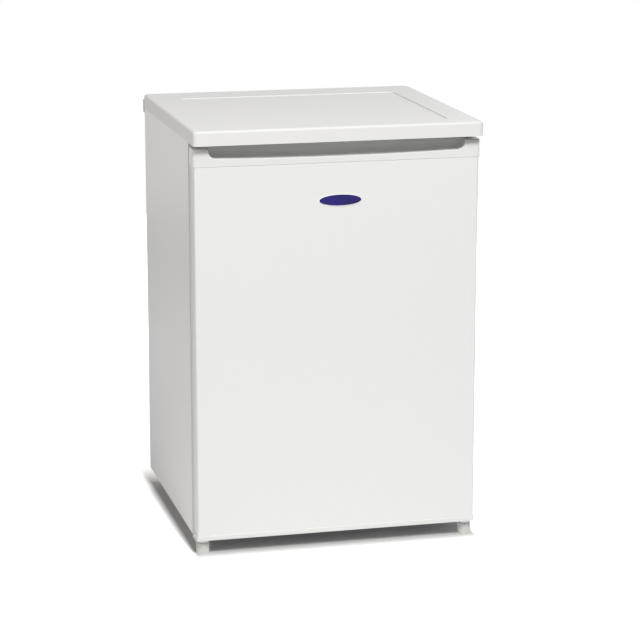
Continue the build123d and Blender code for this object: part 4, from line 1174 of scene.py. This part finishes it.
@dataclass
class Studio:
    """White floor, white surroundings, soft lamps and the camera."""

    sky: float = 0.17
    floor_half: Point = (3.2, 2.45, 1.0)
    floor_centre: Point = (0.0, 0.95, 0.0)
    floor_tone: float = 0.92
    mirror_tone: float = 1.35
    # Painted contact shadow on the floor as the camera sees it: the lit floor times a gain that is below 1 at the
    # footprint and rises with the distance, faster to the sides, so that the cast shadow further out is painted over
    # with white.
    footprint: Point = (0.283, 0.250, 0.0)
    sideways: Point = (6.0, 1.0, 1.0)
    painted_shadow_gain: float = 0.64
    middle_gain: float = 3.0
    far_gain: float = 4.0
    middle_reach: float = 0.12
    far_reach: float = 2.5
    camera_place: Point = (-1.149, -4.767, 1.535)
    camera_pitch: float = 13.0
    camera_yaw: float = 13.87
    lens: float = 137.5
    sensor: float = 36.0
    lamps: tuple[Lamp, ...] = (
        Lamp("key_lamp", (0.3, -3.4, 3.9), (0.0, -0.2, 0.2), 1.3, 179.0),
        Lamp("side_lamp", (-2.7, -1.1, 1.9), (-0.3, -0.1, 0.3), 0.8, 21.2, (1.0, 0.955, 0.915)),
        Lamp("back_lamp", (1.9, 2.4, 1.3), (0.0, 0.2, 0.4), 1.0, 20.0),
    )

    def build(self) -> None:
        """Builds the whole studio."""
        self.build_world()
        self.build_floor()
        for lamp in self.lamps:
            lamp.build()
        self.build_camera()
        bpy.context.scene.view_settings.view_transform = "Standard"

    def seen_share(self, tree: bpy.types.NodeTree) -> Socket:
        """Adds up the rays that look at the surroundings.

        Args:
            tree: The node tree that they are needed in.

        Returns:
            1 for camera, glossy and transmission rays, and 0 for the others.
        """
        path = tree.nodes.new("ShaderNodeLightPath")
        total = path.outputs["Is Camera Ray"]
        for name in ("Is Glossy Ray", "Is Transmission Ray"):
            most = tree.nodes.new("ShaderNodeMath")
            most.operation = "MAXIMUM"
            tree.links.new(total, most.inputs[0])
            tree.links.new(path.outputs[name], most.inputs[1])
            total = most.outputs["Value"]
        return total

    def mix(self, tree: bpy.types.NodeTree, share: Socket, first: Socket, second: Socket) -> Socket:
        """Mixes two shaders.

        Args:
            tree: Their node tree.
            share: Share of the second one.
            first: The first one.
            second: The second one.

        Returns:
            The mixed shader.
        """
        mixer = tree.nodes.new("ShaderNodeMixShader")
        for value, socket in zip((share, first, second), mixer.inputs):
            tree.links.new(value, socket)
        return mixer.outputs["Shader"]

    def build_world(self) -> None:
        """Surroundings that light softly and look white."""
        world = bpy.data.worlds.new("white_studio")
        world.use_nodes = True
        tree = world.node_tree
        tree.nodes.clear()
        shaders = []
        for strength in (self.sky, 1.0):
            background = tree.nodes.new("ShaderNodeBackground")
            background.inputs["Color"].default_value = (1.0, 1.0, 1.0, 1.0)
            background.inputs["Strength"].default_value = strength
            shaders.append(background.outputs["Background"])
        output = tree.nodes.new("ShaderNodeOutputWorld")
        tree.links.new(self.mix(tree, self.seen_share(tree), *shaders), output.inputs["Surface"])
        bpy.context.scene.world = world

    def paint_contact_shadow(self, tree: bpy.types.NodeTree) -> Socket:
        """Paints a contact shadow on the floor: the camera's tone is below 1 at the footprint, which darkens it, and
        grows with the distance from it, so that the object's cast shadow further out is painted over with white.

        Args:
            tree: The floor's node tree.

        Returns:
            The tone of the floor as the camera sees it.
        """
        value = tree.nodes.new("ShaderNodeTexCoord").outputs["Object"]
        for operation, amount in (
            ("ABSOLUTE", None), ("SUBTRACT", self.footprint), ("MAXIMUM", (0.0,) * 3), ("MULTIPLY", self.sideways),
        ):
            step = tree.nodes.new("ShaderNodeVectorMath")
            step.operation = operation
            tree.links.new(value, step.inputs[0])
            if amount is not None:
                step.inputs[1].default_value = amount
            value = step.outputs["Vector"]
        distance = tree.nodes.new("ShaderNodeVectorMath")
        distance.operation = "LENGTH"
        tree.links.new(value, distance.inputs[0])
        share = tree.nodes.new("ShaderNodeMath")
        share.operation = "DIVIDE"
        share.inputs[1].default_value = self.far_reach
        tree.links.new(distance.outputs["Value"], share.inputs[0])
        curve = tree.nodes.new("ShaderNodeValToRGB")
        stops = curve.color_ramp.elements
        # Painted contact shadow: the darkest stop, at the footprint.
        stops[0].color = (self.painted_shadow_gain / self.far_gain,) * 3 + (1.0,)
        stops[1].color = (1.0, 1.0, 1.0, 1.0)
        stops.new(self.middle_reach / self.far_reach).color = (self.middle_gain / self.far_gain,) * 3 + (1.0,)
        tree.links.new(share.outputs["Value"], curve.inputs["Fac"])
        gain = tree.nodes.new("ShaderNodeVectorMath")
        gain.operation = "SCALE"
        gain.inputs["Scale"].default_value = self.far_gain
        tree.links.new(curve.outputs["Color"], gain.inputs[0])
        return gain.outputs["Vector"]

    def floor_material(self) -> bpy.types.Material:
        """Builds the floor's finish, which the camera, mirrors and light see differently.

        Returns:
            The material, with its nodes in place.
        """
        material = bpy.data.materials.new("studio_floor")
        material.use_nodes = True
        tree = material.node_tree
        tree.nodes.clear()
        plain, mirrored, seen = (tree.nodes.new("ShaderNodeBsdfDiffuse") for _ in range(3))
        plain.inputs["Color"].default_value = (self.floor_tone,) * 3 + (1.0,)
        mirrored.inputs["Color"].default_value = (self.mirror_tone,) * 3 + (1.0,)
        # The camera sees the floor in the tone of the painted contact shadow.
        tree.links.new(self.paint_contact_shadow(tree), seen.inputs["Color"])
        hidden = self.mix(tree, self.seen_share(tree), plain.outputs["BSDF"], mirrored.outputs["BSDF"])
        camera_ray = tree.nodes.new("ShaderNodeLightPath").outputs["Is Camera Ray"]
        output = tree.nodes.new("ShaderNodeOutputMaterial")
        tree.links.new(self.mix(tree, camera_ray, hidden, seen.outputs["BSDF"]), output.inputs["Surface"])
        return material

    def build_floor(self) -> None:
        """White floor that ends short of the camera and keeps the object's shadow, which the camera sees deepened by a
        painted contact shadow at the object's foot and painted over with white further out.
        """
        shape = bmesh.new()
        bmesh.ops.create_grid(shape, x_segments=1, y_segments=1, size=1.0)
        bmesh.ops.scale(shape, vec=self.floor_half, verts=shape.verts)
        bmesh.ops.translate(shape, vec=self.floor_centre, verts=shape.verts)
        mesh = bpy.data.meshes.new("studio_floor")
        shape.to_mesh(mesh)
        shape.free()
        mesh.materials.append(self.floor_material())
        floor = bpy.data.objects.new("studio_floor", mesh)
        bpy.context.scene.collection.objects.link(floor)

    def build_camera(self) -> None:
        """Camera at the photograph's viewing angle."""
        data = bpy.data.cameras.new("photo_camera")
        data.lens = self.lens
        data.sensor_width = self.sensor
        camera = bpy.data.objects.new("photo_camera", data)
        camera.location = self.camera_place
        camera.rotation_euler = (math.radians(90.0 - self.camera_pitch), 0.0, math.radians(-self.camera_yaw))
        bpy.context.scene.collection.objects.link(camera)
        bpy.context.scene.camera = camera


@dataclass
class Refrigerator:
    """The frame's finishes and all pieces that Blender adds to it."""

    shop: Paintshop = field(default_factory=Paintshop)
    pieces: tuple[Piece, ...] = (
        Badge(),
        DoorSeal(),
        Bin("dairy_bin", "dairy_balcony", Body.DOOR, 1),
        Bin("middle_bin", "middle_balcony", Body.DOOR, 1),
        Bin("bottle_bin", "bottle_balcony", Body.DOOR, 1),
        Bin("crisper_bin", "crisper_drawer", Body.CRISPER, -1, corner=0.014, draft=0.004, side_draft=0.0016),
        LampLens(),
        DialMarks(),
        ColdWall(),
        ServiceTube(),
    )

    def build(self) -> None:
        """Dresses the nodes and builds every piece in order."""
        self.shop.dress_nodes()
        for piece in self.pieces:
            piece.build(self.shop)


def main() -> None:
    """Builds the refrigerator and the studio."""
    logging.basicConfig(level=logging.INFO, format="%(name)s: %(message)s")
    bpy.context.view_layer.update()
    Refrigerator().build()
    Studio().build()


if __name__ == "__main__":
    main()
